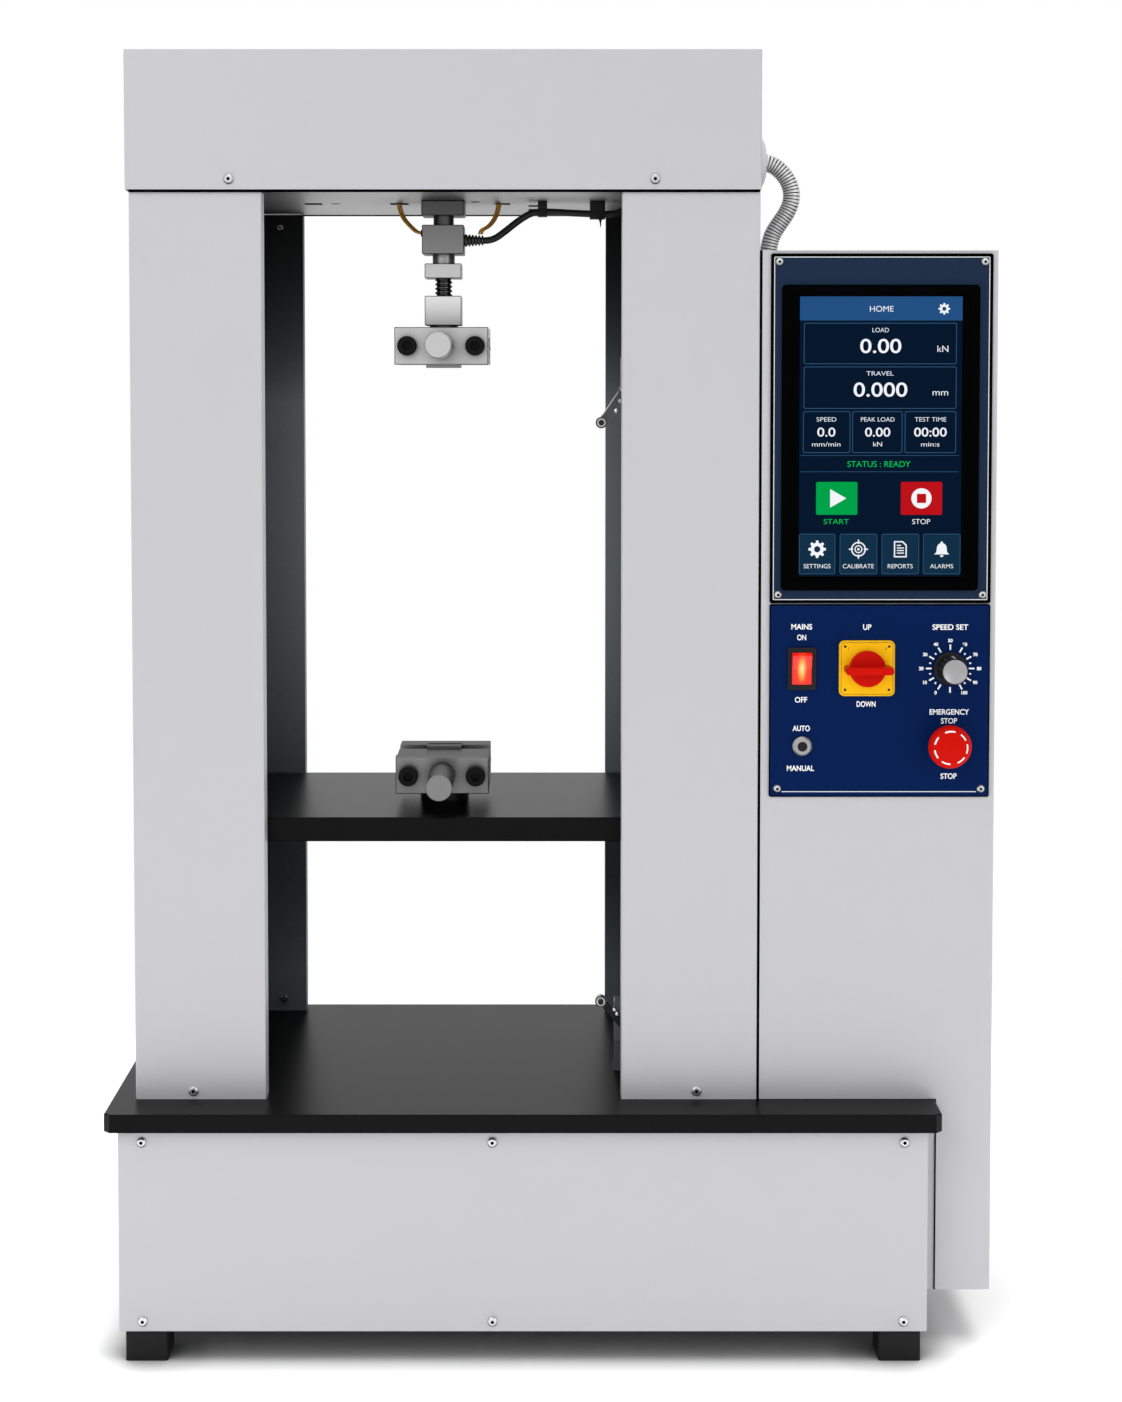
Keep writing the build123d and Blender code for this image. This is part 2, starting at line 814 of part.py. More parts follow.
def square_block(width, z0, z1):
    """A square block on the load axis with broken edges."""
    half = width / 2
    return soften(block(axis_x - half, axis_x + half, axis_y - half, axis_y + half, z0, z1),
                  block_edge_break)


def make_load_hanger():
    """The block bolted under the top plate, and the stud below it."""
    hanger = square_block(hanger_width, hanger_bottom, top_plate_bottom)
    stud = post(axis_x, axis_y, cell_top, hanger_bottom, upper_stud_radius)
    return together([hanger, stud])


def make_load_cell():
    """The load cell block."""
    return square_block(cell_width, cell_bottom, cell_top)


def make_coupling_nut():
    """The square nut block under the load cell, with the stud above it."""
    nut = square_block(coupling_width, coupling_bottom, coupling_top)
    nut -= post(axis_x, axis_y, coupling_bottom, coupling_bottom + threaded_rod_grip,
                threaded_rod_radius + seat_gap)
    stud = post(axis_x, axis_y, coupling_top, cell_bottom, lower_stud_radius)
    return together([nut, stud])


def make_threaded_rod():
    """The threaded rod between the nut block and the grip adapter."""
    return post(axis_x, axis_y, adapter_top - threaded_rod_grip, coupling_bottom + threaded_rod_grip,
                threaded_rod_radius)


def make_grip_adapter():
    """The long block above the upper grip, and its neck."""
    adapter = square_block(coupling_width, adapter_bottom, adapter_top)
    adapter -= post(axis_x, axis_y, adapter_top - threaded_rod_grip, adapter_top,
                    threaded_rod_radius + seat_gap)
    return adapter + post(axis_x, axis_y, upper_grip_face, adapter_bottom, adapter_neck_radius)


# Limit switches

upper_roller_z = crosshead_top + travel_up + upper_roller_margin + roller_radius
lower_roller_z = crosshead_bottom - travel_down - lower_roller_margin - roller_radius
roller_x = right_inner - roller_reach
switch_front = column_front + switch_setback
lever_back = switch_front - seat_gap
lever_front = lever_back - lever_thickness
upper_pivot = (roller_x + lever_length * math.sin(math.radians(upper_lever_lean)),
               upper_roller_z + lever_length * math.cos(math.radians(upper_lever_lean)))
lower_pivot = (roller_x + lever_length * math.sin(math.radians(lower_lever_lean)),
               lower_roller_z - lever_length * math.cos(math.radians(lower_lever_lean)))
upper_switch = (right_inner + sheet, upper_pivot[1] - upper_switch_inset)
lower_switch = (lower_pivot[0] - switch_width / 3, lower_pivot[1] - switch_height / 3)


def switch_body(corner, pivot):
    """A switch case with a broken rim, bored for its lever's pivot."""
    x, z = corner
    case = block(x, x + switch_width, switch_front, switch_front + switch_depth, z, z + switch_height)
    case = soften(case, block_edge_break)
    return case - bar_y(pivot[0], pivot[1], switch_front, switch_front + switch_depth / 2,
                        switch_pivot_radius + seat_gap)


def make_limit_switches():
    """Both switch cases, with the upper one's rod clamp and the lower one's foot bracket."""
    back = switch_front + switch_depth
    behind = back + switch_bracket_thickness
    upper_x, upper_z = upper_switch
    lower_x, lower_z = lower_switch
    rod_x, rod_y = screw_xs[1], rod_ys[0]
    plate = block(upper_x, rod_x - rod_radius, back, behind, upper_z, upper_z + switch_height)
    collar_low = upper_z + (switch_height - clamp_collar_height) / 2
    collar_high = collar_low + clamp_collar_height
    plate += block(rod_x - clamp_collar_radius, rod_x - rod_radius, rod_y, behind, collar_low, collar_high)
    plate += post(rod_x, rod_y, collar_low, collar_high, clamp_collar_radius)
    plate -= post(rod_x, rod_y, collar_low, collar_high, rod_radius + seat_gap)
    foot = block(lower_x, lower_x + switch_width, back, behind, plate_top, lower_z + switch_height)
    foot += block(lower_x, lower_x + switch_width, behind, behind + switch_depth,
                  plate_top, plate_top + switch_bracket_thickness)
    return together([switch_body(upper_switch, upper_pivot), switch_body(lower_switch, lower_pivot),
                     plate, foot])


def make_lever(pivot, roller_z):
    """A lever plate with rounded ends, its pivot pin, and the pin that carries the roller."""
    dx, dz = roller_x - pivot[0], roller_z - pivot[1]
    strip = extrude(SlotCenterToCenter(lever_length, lever_width), amount=lever_thickness)
    lean = math.degrees(math.atan2(dz, dx))
    middle = Pos((pivot[0] + roller_x) / 2, lever_back, (pivot[1] + roller_z) / 2)
    lever = middle * Rot(90, 0, 0) * Rot(0, 0, lean) * strip
    lever += bar_y(pivot[0], pivot[1], lever_front - lever_thickness, lever_back, switch_pivot_radius)
    lever += bar_y(pivot[0], pivot[1], lever_back, switch_front + switch_depth / 2 - seat_gap,
                   switch_pivot_radius)
    return lever + bar_y(roller_x, roller_z, lever_front - roller_width - lever_thickness, lever_front,
                         roller_pin_radius)


def make_roller(roller_z):
    """A roller on its lever's pin."""
    back = lever_front - panel_gap
    roller = bar_y(roller_x, roller_z, back - roller_width, back, roller_radius)
    return roller - bar_y(roller_x, roller_z, back - roller_width, back, roller_pin_radius + fit_gap)


# Cabinet


def cabinet_outline(inset):
    """The front outline of the cabinet's shell, fitted round the edge of the bed."""
    return [
        (cabinet_left + inset, plate_top + inset),
        (plate_right + sheet + inset, plate_top + inset),
        (plate_right + sheet + inset, plate_bottom - sheet - inset),
        (body_right + inset, plate_bottom - sheet - inset),
        (body_right + inset, cabinet_bottom + inset),
        (cabinet_right - inset, cabinet_bottom + inset),
        (cabinet_right - inset, cabinet_top - inset),
        (cabinet_left + inset, cabinet_top - inset),
    ]


def standing_sheet(outline, y0, y1):
    """A closed front outline drawn back between two depths."""
    points = [(x, y0, z) for x, z in outline]
    return extrude(make_face(Polyline(*points, close=True)), amount=y1 - y0, dir=(0, 1, 0))


def make_cabinet_shell():
    """The folded box of the cabinet, open in front behind its lips and closed at the back."""
    front = cabinet_front_y + sheet
    shell = standing_sheet(cabinet_outline(0), front, cabinet_rear_y)
    shell -= standing_sheet(cabinet_outline(sheet), front + sheet, cabinet_rear_y - sheet)
    upper = block(cabinet_left + cabinet_lip, cabinet_right - cabinet_lip, front, front + sheet,
                  plate_top + cabinet_lip, cabinet_top - cabinet_lip)
    lower = block(plate_right + cabinet_lip, cabinet_right - cabinet_lip, front, front + sheet,
                  cabinet_bottom + cabinet_lip, plate_top + cabinet_lip)
    shell = shell - upper - lower
    middle = (cabinet_left + cabinet_right) / 2
    for row in range(vent_count):
        level = plate_top + 3 * cabinet_lip + row * vent_pitch
        shell -= block(middle - vent_length / 2, middle + vent_length / 2, cabinet_rear_y - 2 * sheet,
                       cabinet_rear_y + sheet, level, level + vent_width)
    shell -= post(cabinet_left + conduit_cabinet_inset, column_front + conduit_setback,
                  cabinet_top - 2 * sheet, cabinet_top + sheet, conduit_radius)
    half_x, half_z = inlet_size[0] / 2, inlet_size[2] / 2
    inlet_z = cabinet_bottom + inlet_lift
    inlet_x = inlet_place()
    return shell - block(inlet_x - half_x, inlet_x + half_x, cabinet_rear_y - 2 * sheet,
                         cabinet_rear_y + sheet, inlet_z - half_z, inlet_z + half_z)


def inlet_place():
    """The middle of the lower part of the cabinet, left to right."""
    return (body_right + cabinet_right) / 2


def control_point(place):
    """A place on the control panel, from its left and top edges."""
    return panel_left + place[0], control_top - place[1]


def control_holes(spare):
    """The cut-outs behind the controls, each wider by the given amount."""
    y0, y1 = panel_face - sheet, cabinet_front_y + 2 * sheet
    x, z = control_point(mains_place)
    half_x = mains_rocker[0] / 2 + sheet + spare
    half_z = mains_rocker[1] / 2 + sheet + spare
    holes = [block(x - half_x, x + half_x, y0, y1, z - half_z, z + half_z)]
    for place, radius in ((cam_place, cam_shaft_radius + sheet), (speed_place, speed_shaft_radius + sheet),
                          (estop_place, estop_neck_radius), (mode_place, mode_button_radius + sheet)):
        x, z = control_point(place)
        holes.append(bar_y(x, z, y0, y1, radius + spare))
    return holes


def make_cabinet_front():
    """The flat front panel of the cabinet, stepped round the edge of the bed."""
    edge = plate_right + sheet
    outline = [
        (cabinet_left, plate_top + panel_gap),
        (edge, plate_top + panel_gap),
        (edge, cabinet_bottom),
        (cabinet_right, cabinet_bottom),
        (cabinet_right, cabinet_top),
        (cabinet_left, cabinet_top),
    ]
    panel = standing_sheet(outline, cabinet_front_y, cabinet_front_y + sheet)
    for hole in control_holes(sheet):
        panel -= hole
    half_x = screen_width / 2 - screen_body_inset
    half_z = screen_height / 2 - screen_body_inset
    return panel - block(screen_centre_x - half_x, screen_centre_x + half_x, cabinet_front_y - sheet,
                         cabinet_front_y + 2 * sheet, screen_centre_z - half_z, screen_centre_z + half_z)


def make_display_panel():
    """The black plate round the screen."""
    panel = block(panel_left, panel_left + panel_width, panel_face, cabinet_front_y,
                  display_bottom, display_top)
    panel = fillet(panel.edges().filter_by(Axis.Y), sheet_rounding)
    half_x = screen_width / 2 - screen_body_inset
    half_z = screen_height / 2 - screen_body_inset
    return panel - block(screen_centre_x - half_x, screen_centre_x + half_x, panel_face - sheet,
                         cabinet_front_y + sheet, screen_centre_z - half_z, screen_centre_z + half_z)


def make_touch_screen():
    """The touch screen: a rounded bezel with a sunk glass, and its case behind the panel."""
    half_x, half_z = screen_width / 2, screen_height / 2
    bezel = block(screen_centre_x - half_x, screen_centre_x + half_x, panel_face - screen_proud,
                  panel_face, screen_centre_z - half_z, screen_centre_z + half_z)
    bezel = fillet(bezel.edges().filter_by(Axis.Y), 2 * sheet_rounding)
    bezel = chamfer(bezel.faces().sort_by(Axis.Y)[0].edges(), screen_proud / 3)
    glass_x, glass_z = half_x - screen_glass_inset, half_z - screen_glass_inset
    bezel -= block(screen_centre_x - glass_x, screen_centre_x + glass_x, panel_face - screen_proud,
                   panel_face - screen_proud + screen_glass_depth,
                   screen_centre_z - glass_z, screen_centre_z + glass_z)
    case_x = half_x - screen_body_inset - panel_gap
    case_z = half_z - screen_body_inset - panel_gap
    return bezel + block(screen_centre_x - case_x, screen_centre_x + case_x, panel_face,
                         panel_face + screen_body_depth, screen_centre_z - case_z, screen_centre_z + case_z)


def make_control_panel():
    """The blue plate that carries the controls."""
    panel = block(panel_left, panel_left + panel_width, panel_face, cabinet_front_y,
                  control_bottom, control_top)
    panel = fillet(panel.edges().filter_by(Axis.Y), sheet_rounding)
    for hole in control_holes(panel_gap):
        panel -= hole
    return panel


# Controls


def make_mains_switch_body():
    """The mains switch's bezel and case, with the round well for its rocker."""
    x, z = control_point(mains_place)
    half_x, half_z = mains_bezel[0] / 2, mains_bezel[1] / 2
    face = panel_face - mains_bezel_proud
    body = block(x - half_x, x + half_x, face, panel_face, z - half_z, z + half_z)
    body = fillet(body.edges().filter_by(Axis.Y), sheet_rounding)
    case_x, case_z = mains_rocker[0] / 2 + sheet, mains_rocker[1] / 2 + sheet
    body += block(x - case_x, x + case_x, panel_face, panel_face + mains_body_depth, z - case_z, z + case_z)
    well = bar_x(panel_face, z, x - mains_rocker[0] / 2, x + mains_rocker[0] / 2, mains_rocker[1] / 2)
    well += block(x - mains_rocker[0] / 2, x + mains_rocker[0] / 2, face, panel_face,
                  z - mains_rocker[1] / 2, z + mains_rocker[1] / 2)
    return body - well


def make_mains_rocker():
    """The rocker: a round slice about its pivot with two flats in front, resting at on."""
    x, z = control_point(mains_place)
    radius = mains_rocker[1] / 2 - rocker_gap
    half = mains_rocker[0] / 2 - rocker_gap
    rocker = Rot(0, 90, 0) * Cylinder(radius, 2 * half)
    rise = mains_bezel_proud
    for side in (-1, 1):
        flat = Rot(side * rocker_tilt, 0, 0) * block(-half, half, -3 * radius, -rise, -3 * radius, 3 * radius)
        keep = block(-half, half, -3 * radius, 3 * radius, *sorted((0, side * 3 * radius)))
        rocker -= flat & keep
    return Pos(x, panel_face, z) * Rot(rocker_tilt, 0, 0) * rocker


def make_cam_switch_body():
    """The cam switch's square front plate and its contact stack behind the panel."""
    x, z = control_point(cam_place)
    half = cam_plate_size / 2
    body = block(x - half, x + half, panel_face - cam_plate_thickness, panel_face, z - half, z + half)
    body = fillet(body.edges().filter_by(Axis.Y), cam_plate_rounding)
    body = chamfer(body.faces().sort_by(Axis.Y)[0].edges(), cam_plate_thickness / 4)
    body += bar_y(x, z, panel_face, cabinet_front_y + sheet, cam_shaft_radius + sheet)
    body += bar_y(x, z, cabinet_front_y + sheet, cabinet_front_y + cam_body_depth, cam_body_radius)
    return body - bar_y(x, z, panel_face - cam_plate_thickness, cabinet_front_y + sheet,
                        cam_shaft_radius + seat_gap)


def make_cam_switch_handle():
    """The cam switch's round knob with its raised bar, and its shaft."""
    x, z = control_point(cam_place)
    base = panel_face - cam_plate_thickness - panel_gap
    knob = bar_y(x, z, base - cam_knob_height, base, cam_knob_radius)
    knob = chamfer(knob.faces().sort_by(Axis.Y)[0].edges(), cam_knob_height / 4)
    half_x, half_z = cam_bar_length / 2, cam_bar_width / 2
    bar = block(x - half_x, x + half_x, base - cam_knob_height - cam_bar_height, base - cam_knob_height / 3,
                z - half_z, z + half_z)
    bar = fillet(bar.edges().filter_by(Axis.Y), cam_bar_width / 3)
    bar = chamfer(bar.faces().sort_by(Axis.Y)[0].edges(), cam_bar_width / 8)
    return knob + bar + bar_y(x, z, base, cabinet_front_y + sheet - panel_gap, cam_shaft_radius)


def make_speed_knob():
    """The speed knob: a skirt, a fluted grip and a low cap, on its shaft."""
    x, z = control_point(speed_place)
    base = panel_face - panel_gap
    skirt = bar_y(x, z, base - speed_skirt_height, base, speed_skirt_radius)
    skirt = chamfer(skirt.faces().sort_by(Axis.Y)[0].edges(), speed_skirt_height / 4)
    grip_face = base - speed_skirt_height - speed_grip_height
    grip = bar_y(x, z, grip_face, base - speed_skirt_height, speed_grip_radius)
    for flute in range(speed_flutes):
        angle = 2 * math.pi * flute / speed_flutes
        grip -= bar_y(x + speed_grip_radius * math.cos(angle), z + speed_grip_radius * math.sin(angle),
                      grip_face, base - speed_skirt_height, speed_flute_radius)
    cap = bar_y(x, z, grip_face - sheet, grip_face, speed_cap_radius - speed_flute_radius)
    shaft = bar_y(x, z, base, cabinet_front_y + sheet - panel_gap, speed_shaft_radius)
    return skirt + grip + cap + shaft


def make_estop_stem():
    """The stop button's stem, which slides in its collar."""
    x, z = control_point(estop_place)
    neck_front = panel_face - estop_collar_height - estop_travel - panel_gap
    return bar_y(x, z, neck_front - estop_head_height / 2, cabinet_front_y + estop_body_depth / 4,
                 estop_stem_radius)


def make_estop_head():
    """The stop button's mushroom head, bored for the stem that it turns on."""
    x, z = control_point(estop_place)
    neck_front = panel_face - estop_collar_height - estop_travel - panel_gap
    profile = [
        (estop_stem_radius + fit_gap, 0),
        (estop_neck_radius, 0),
        (estop_head_radius - 2 * sheet, estop_head_height / 4),
        (estop_head_radius, estop_head_height / 2),
    ]
    crown = (estop_head_radius * 0.6, estop_head_height - estop_crown_drop)
    side = ThreePointArc(profile[3], (estop_head_radius * 0.9, estop_head_height * 0.76), crown)
    dome_radius = (crown[0] ** 2 + estop_crown_drop ** 2) / (2 * estop_crown_drop)
    quarter = math.asin(crown[0] / dome_radius) / 2
    halfway = (dome_radius * math.sin(quarter), estop_head_height - dome_radius * (1 - math.cos(quarter)))
    top = ThreePointArc(crown, halfway, (0, estop_head_height))
    floor = estop_head_height / 2 + fit_gap
    inside = Polyline((0, floor), (estop_stem_radius + fit_gap, floor), *profile)
    close = Line((0, estop_head_height), (0, floor))
    head = revolve(make_face(Curve() + [inside, side, top, close]), axis=Axis.Y)
    return Pos(x, neck_front, z) * Rot(180, 0, 0) * head


def make_mode_button():
    """The mode switch's push button."""
    x, z = control_point(mode_place)
    front = panel_face - mode_ring_height - mode_button_proud
    button = bar_y(x, z, front, panel_face + mode_body_depth / 2, mode_button_radius)
    return chamfer(button.faces().sort_by(Axis.Y)[0].edges(), mode_button_proud / 2)


def make_mode_switch_bush():
    """The metal ring round the mode switch's button, with its neck through the panel."""
    x, z = control_point(mode_place)
    ring = bar_y(x, z, panel_face - mode_ring_height, panel_face, mode_ring_radius)
    ring = chamfer(ring.faces().sort_by(Axis.Y)[0].edges(), mode_ring_height / 3)
    ring += bar_y(x, z, panel_face, cabinet_front_y + sheet, mode_button_radius + sheet)
    return ring - bar_y(x, z, panel_face - mode_ring_height, cabinet_front_y + sheet,
                        mode_button_radius + seat_gap)


def make_switch_bodies():
    """The cases behind the panel of the speed, stop and mode controls."""
    inner = cabinet_front_y + sheet
    x, z = control_point(speed_place)
    pot = bar_y(x, z, inner, inner + speed_body_depth, speed_body_radius)
    pot += bar_y(x, z, panel_face, inner, speed_shaft_radius + sheet)
    pot -= bar_y(x, z, panel_face, inner, speed_shaft_radius + seat_gap)
    x, z = control_point(estop_place)
    half = estop_collar_radius
    stop = bar_y(x, z, panel_face - estop_collar_height, panel_face, estop_collar_radius)
    stop = chamfer(stop.faces().sort_by(Axis.Y)[0].edges(), sheet)
    stop += bar_y(x, z, panel_face, inner, estop_neck_radius)
    stop += block(x - half, x + half, inner, inner + estop_body_depth, z - half, z + half)
    stop -= bar_y(x, z, panel_face - estop_collar_height, inner + estop_body_depth / 2,
                  estop_stem_radius + fit_gap)
    x, z = control_point(mode_place)
    half = mode_ring_radius
    mode = block(x - half, x + half, inner, inner + mode_body_depth, z - half, z + half)
    mode -= bar_y(x, z, inner, inner + mode_body_depth * 0.7, mode_button_radius + seat_gap)
    return together([pot, stop, mode])


def make_servo_drive():
    """The motor's drive on the cabinet's back wall, with its cooling fins."""
    width, depth, height = drive_size
    middle = (cabinet_left + cabinet_right) / 2
    back = cabinet_rear_y - sheet
    low = plate_top + drive_lift
    drive = block(middle - width / 2, middle + width / 2, back - depth, back, low, low + height)
    fins = 8
    pitch = height / fins
    for fin in range(fins - 1):
        level = low + pitch * (fin + 0.75)
        drive -= block(middle + width / 4, middle + width / 2, back - depth, back, level, level + pitch / 2)
    return drive


def make_power_inlet():
    """The mains inlet at the foot of the cabinet's back."""
    width, depth, height = inlet_size
    x = inlet_place()
    z = cabinet_bottom + inlet_lift
    half_x, half_z = width / 2 - seat_gap, height / 2 - seat_gap
    body = block(x - half_x, x + half_x, cabinet_rear_y - depth, cabinet_rear_y, z - half_z, z + half_z)
    flange_x = half_x + sheet
    flange_z = half_z + sheet
    body += block(x - flange_x, x + flange_x, cabinet_rear_y, cabinet_rear_y + sheet, z - flange_z, z + flange_z)
    socket = block(x - half_x * 0.6, x + half_x * 0.6, cabinet_rear_y - depth * 0.7,
                   cabinet_rear_y + sheet, z - half_z * 0.6, z + half_z * 0.6)
    return body - socket


# Conduit, cables and their fittings

conduit_y = column_front + conduit_setback
gland_z = top_plate_bottom + gland_height
gland_tip = head_right + gland_reach
conduit_foot_x = cabinet_left + conduit_cabinet_inset
conduit_foot_z = cabinet_top + bush_flange_height


def conduit_points():
    """The conduit's route from the head's gland down to the bush on the cabinet."""
    top_z = gland_z
    return [
        (gland_tip, conduit_y, top_z),
        (gland_tip + 12.0, conduit_y, top_z - 0.5),
        (gland_tip + 23.0, conduit_y, top_z - 7.0),
        (gland_tip + 27.5, conduit_y, top_z - 21.0),
        (gland_tip + 24.0, conduit_y, top_z - 36.5),
        (gland_tip + 14.5, conduit_y, top_z - 50.5),
        (conduit_foot_x + 2.0, conduit_y, top_z - 62.5),
        (conduit_foot_x, conduit_y, top_z - 73.0),
        (conduit_foot_x, conduit_y, conduit_foot_z),
    ]


def cable_points():
    """The load cell cable's route: out of the gland, up to its clips and into the top plate."""
    start = axis_x + cell_width / 2 + cell_gland_length
    run = top_plate_bottom - cable_drop
    return [
        (start, axis_y, cell_middle),
        (start + 8.0, axis_y, cell_middle),
        (start + 21.0, axis_y, cell_middle + 9.5),
        (start + 34.0, axis_y, cell_middle + 20.0),
        (start + 46.5, axis_y, run - 0.6),
        (start + cable_clip_reaches[0], axis_y, run),
        (start + 66.0, axis_y, run + 0.1),
        (start + 88.0, axis_y, run - 1.2),
        (start + 102.0, axis_y, run - 1.8),
        (start + cable_clip_reaches[1], axis_y, run - 2.2),
        (start + 120.0, axis_y, run - 2.4),
        (start + 131.0, axis_y, run - 1.6),
        (start + 138.5, axis_y, run + 4.0),
        (start + 141.0, axis_y, run + 12.0),
        (start + 141.5, axis_y, top_plate_top),
    ]


def wire_points(side):
    """A signal wire's route from its slot in the top plate to the load cell."""
    if side < 0:
        x = axis_x + wire_slot_offsets[1]
        end_x = axis_x - cell_width / 2
        return [
            (x, axis_y + wire_slot_setback, top_plate_top),
            (x + 0.6, axis_y + wire_slot_setback, top_plate_bottom),
            (x + 5.0, axis_y + wire_slot_setback * 0.8, top_plate_bottom - 14.0),
            (x + 14.0, axis_y + wire_slot_setback * 0.45, top_plate_bottom - 24.0),
            (end_x - 5.0, axis_y + wire_slot_setback * 0.3, cell_top - 6.6),
            (end_x, axis_y + wire_slot_setback * 0.3, cell_top - 6.6),
        ]
    x = axis_x + wire_slot_offsets[2]
    end_x = axis_x + cell_width / 2 + cell_gland_length * 0.8
    return [
        (x, axis_y + wire_slot_setback, top_plate_top),
        (x - 0.6, axis_y + wire_slot_setback, top_plate_bottom),
        (x - 4.0, axis_y + wire_slot_setback * 0.7, top_plate_bottom - 14.0),
        (x - 11.0, axis_y + wire_slot_setback * 0.3, top_plate_bottom - 24.0),
        (end_x, axis_y, cell_middle + cell_gland_radius + 4.0),
        (end_x, axis_y, cell_middle + cell_gland_radius),
    ]


def cord(name, points, radius):
    """A round cord along straight runs joined by tangent arcs, each as large as its runs allow."""
    corners = [Vector(*point) for point in points]
    radii = []
    for before, corner, after in zip(corners, corners[1:], corners[2:]):
        run_in, run_out = corner - before, after - corner
        half_turn = math.radians(run_in.get_angle(run_out)) / 2
        radii.append(arc_share * min(run_in.length, run_out.length) / math.tan(half_turn))
    path = FilletPolyline(*corners, radius=radii)
    section = Plane(path @ 0, z_dir=path % 0) * Circle(radius)
    tube = sweep(section, path=path)
    share = tube.volume / (math.pi * radius ** 2 * path.length)
    print(f"{name}: length {path.length:.1f}, volume share {share:.4f}, radii",
          " ".join(f"{size:.0f}" for size in radii))
    return tube


def make_cable_fittings():
    """The head's domed gland, the cabinet's bush, the load cell's gland and two cable clips."""
    outline = Polyline((0, conduit_radius), (0, gland_flange_radius), (gland_flange_height, gland_flange_radius),
                       (gland_flange_height, gland_dome_radius))
    dome = ThreePointArc((gland_flange_height, gland_dome_radius),
                         (gland_reach * 0.72, gland_dome_radius * 0.87),
                         (gland_reach, conduit_radius + 2 * sheet))
    close = Polyline((gland_reach, conduit_radius + 2 * sheet), (gland_reach, conduit_radius),
                     (0, conduit_radius))
    gland = Pos(head_right, conduit_y, gland_z) * revolve(make_face(outline + dome + close), axis=Axis.X)
    bush = post(conduit_foot_x, conduit_y, cabinet_top, conduit_foot_z, bush_flange_radius)
    bush -= post(conduit_foot_x, conduit_y, cabinet_top, conduit_foot_z, conduit_radius * 0.8)
    start = axis_x + cell_width / 2
    cell_gland = bar_x(axis_y, cell_middle, start, start + cell_gland_length, cell_gland_radius)
    pieces = [gland, bush, cell_gland]
    for reach in cable_clip_reaches:
        x, y, z = min(cable_points(), key=lambda point: abs(point[0] - start - cell_gland_length - reach))
        half = clip_width / 2
        low = z - cable_radius - clip_wall
        clip = block(x - half, x + half, y - clip_depth / 2, y + clip_depth / 2, low, top_plate_bottom)
        clip -= block(x - half, x + half, y - cable_radius - clip_gap, y + cable_radius + clip_gap,
                      z - cable_radius - clip_gap, z + cable_radius + clip_gap)
        pieces.append(clip)
    return together(pieces)


# Screws on the covers


def button_head(radius):
    """A button-head screw on a front face at the origin: a rim, two slopes and a flat crown with its socket."""
    outline = Polyline((0, 0), (radius, 0), (radius, -button_rim), (radius - button_shoulder, -button_slope_height),
                       (radius - button_bevel, -button_height), (0, -button_height), close=True)
    socket = extrude(RegularPolygon(button_socket_radius * radius / button_radius, 6), amount=button_height)
    return revolve(make_face(outline), axis=Axis.Y) - Pos(0, -button_height, 0) * Rot(-90, 0, 0) * socket


def cover_screw_places():
    """The middles of the cover screws on the front faces: x, y of the face, z, radius."""
    places = []
    middle = (body_left + body_right) / 2 + base_screw_middle_offset
    for x in (body_left + base_screw_side_inset, middle, body_right - base_screw_side_inset):
        for z in (plate_bottom - base_screw_top_drop, body_bottom + base_screw_bottom_rise):
            places.append((x, body_front, z, button_radius))
    head_z = top_plate_bottom + head_bottom_gap + head_screw_rise
    for x in (head_left + head_screw_insets[0], head_right - head_screw_insets[1]):
        places.append((x, head_front, head_z, button_radius))
    for x in ((left_outer + left_inner) / 2 - column_screw_shift,
              (right_outer + right_inner) / 2 + column_screw_shift):
        places.append((x, column_front, plate_top + column_screw_rise, button_radius))
    for x in (panel_left + panel_screw_inset, panel_left + panel_width - panel_screw_inset):
        for z in (display_top - panel_screw_inset, display_bottom + panel_screw_inset,
                  control_bottom + panel_screw_inset):
            places.append((x, panel_face, z, panel_screw_radius))
    for x in (left_inner + rear_panel_reach - rear_screw_inset, right_inner - rear_panel_reach + rear_screw_inset):
        for z in (plate_top + rear_screw_ends, top_plate_bottom - rear_screw_ends):
            places.append((x, rear_panel_front, z, panel_screw_radius))
    return places


def make_cover_screws():
    """All the button-head screws of the covers and panels."""
    return together([Pos(x, y, z) * button_head(radius) for x, y, z, radius in cover_screw_places()])


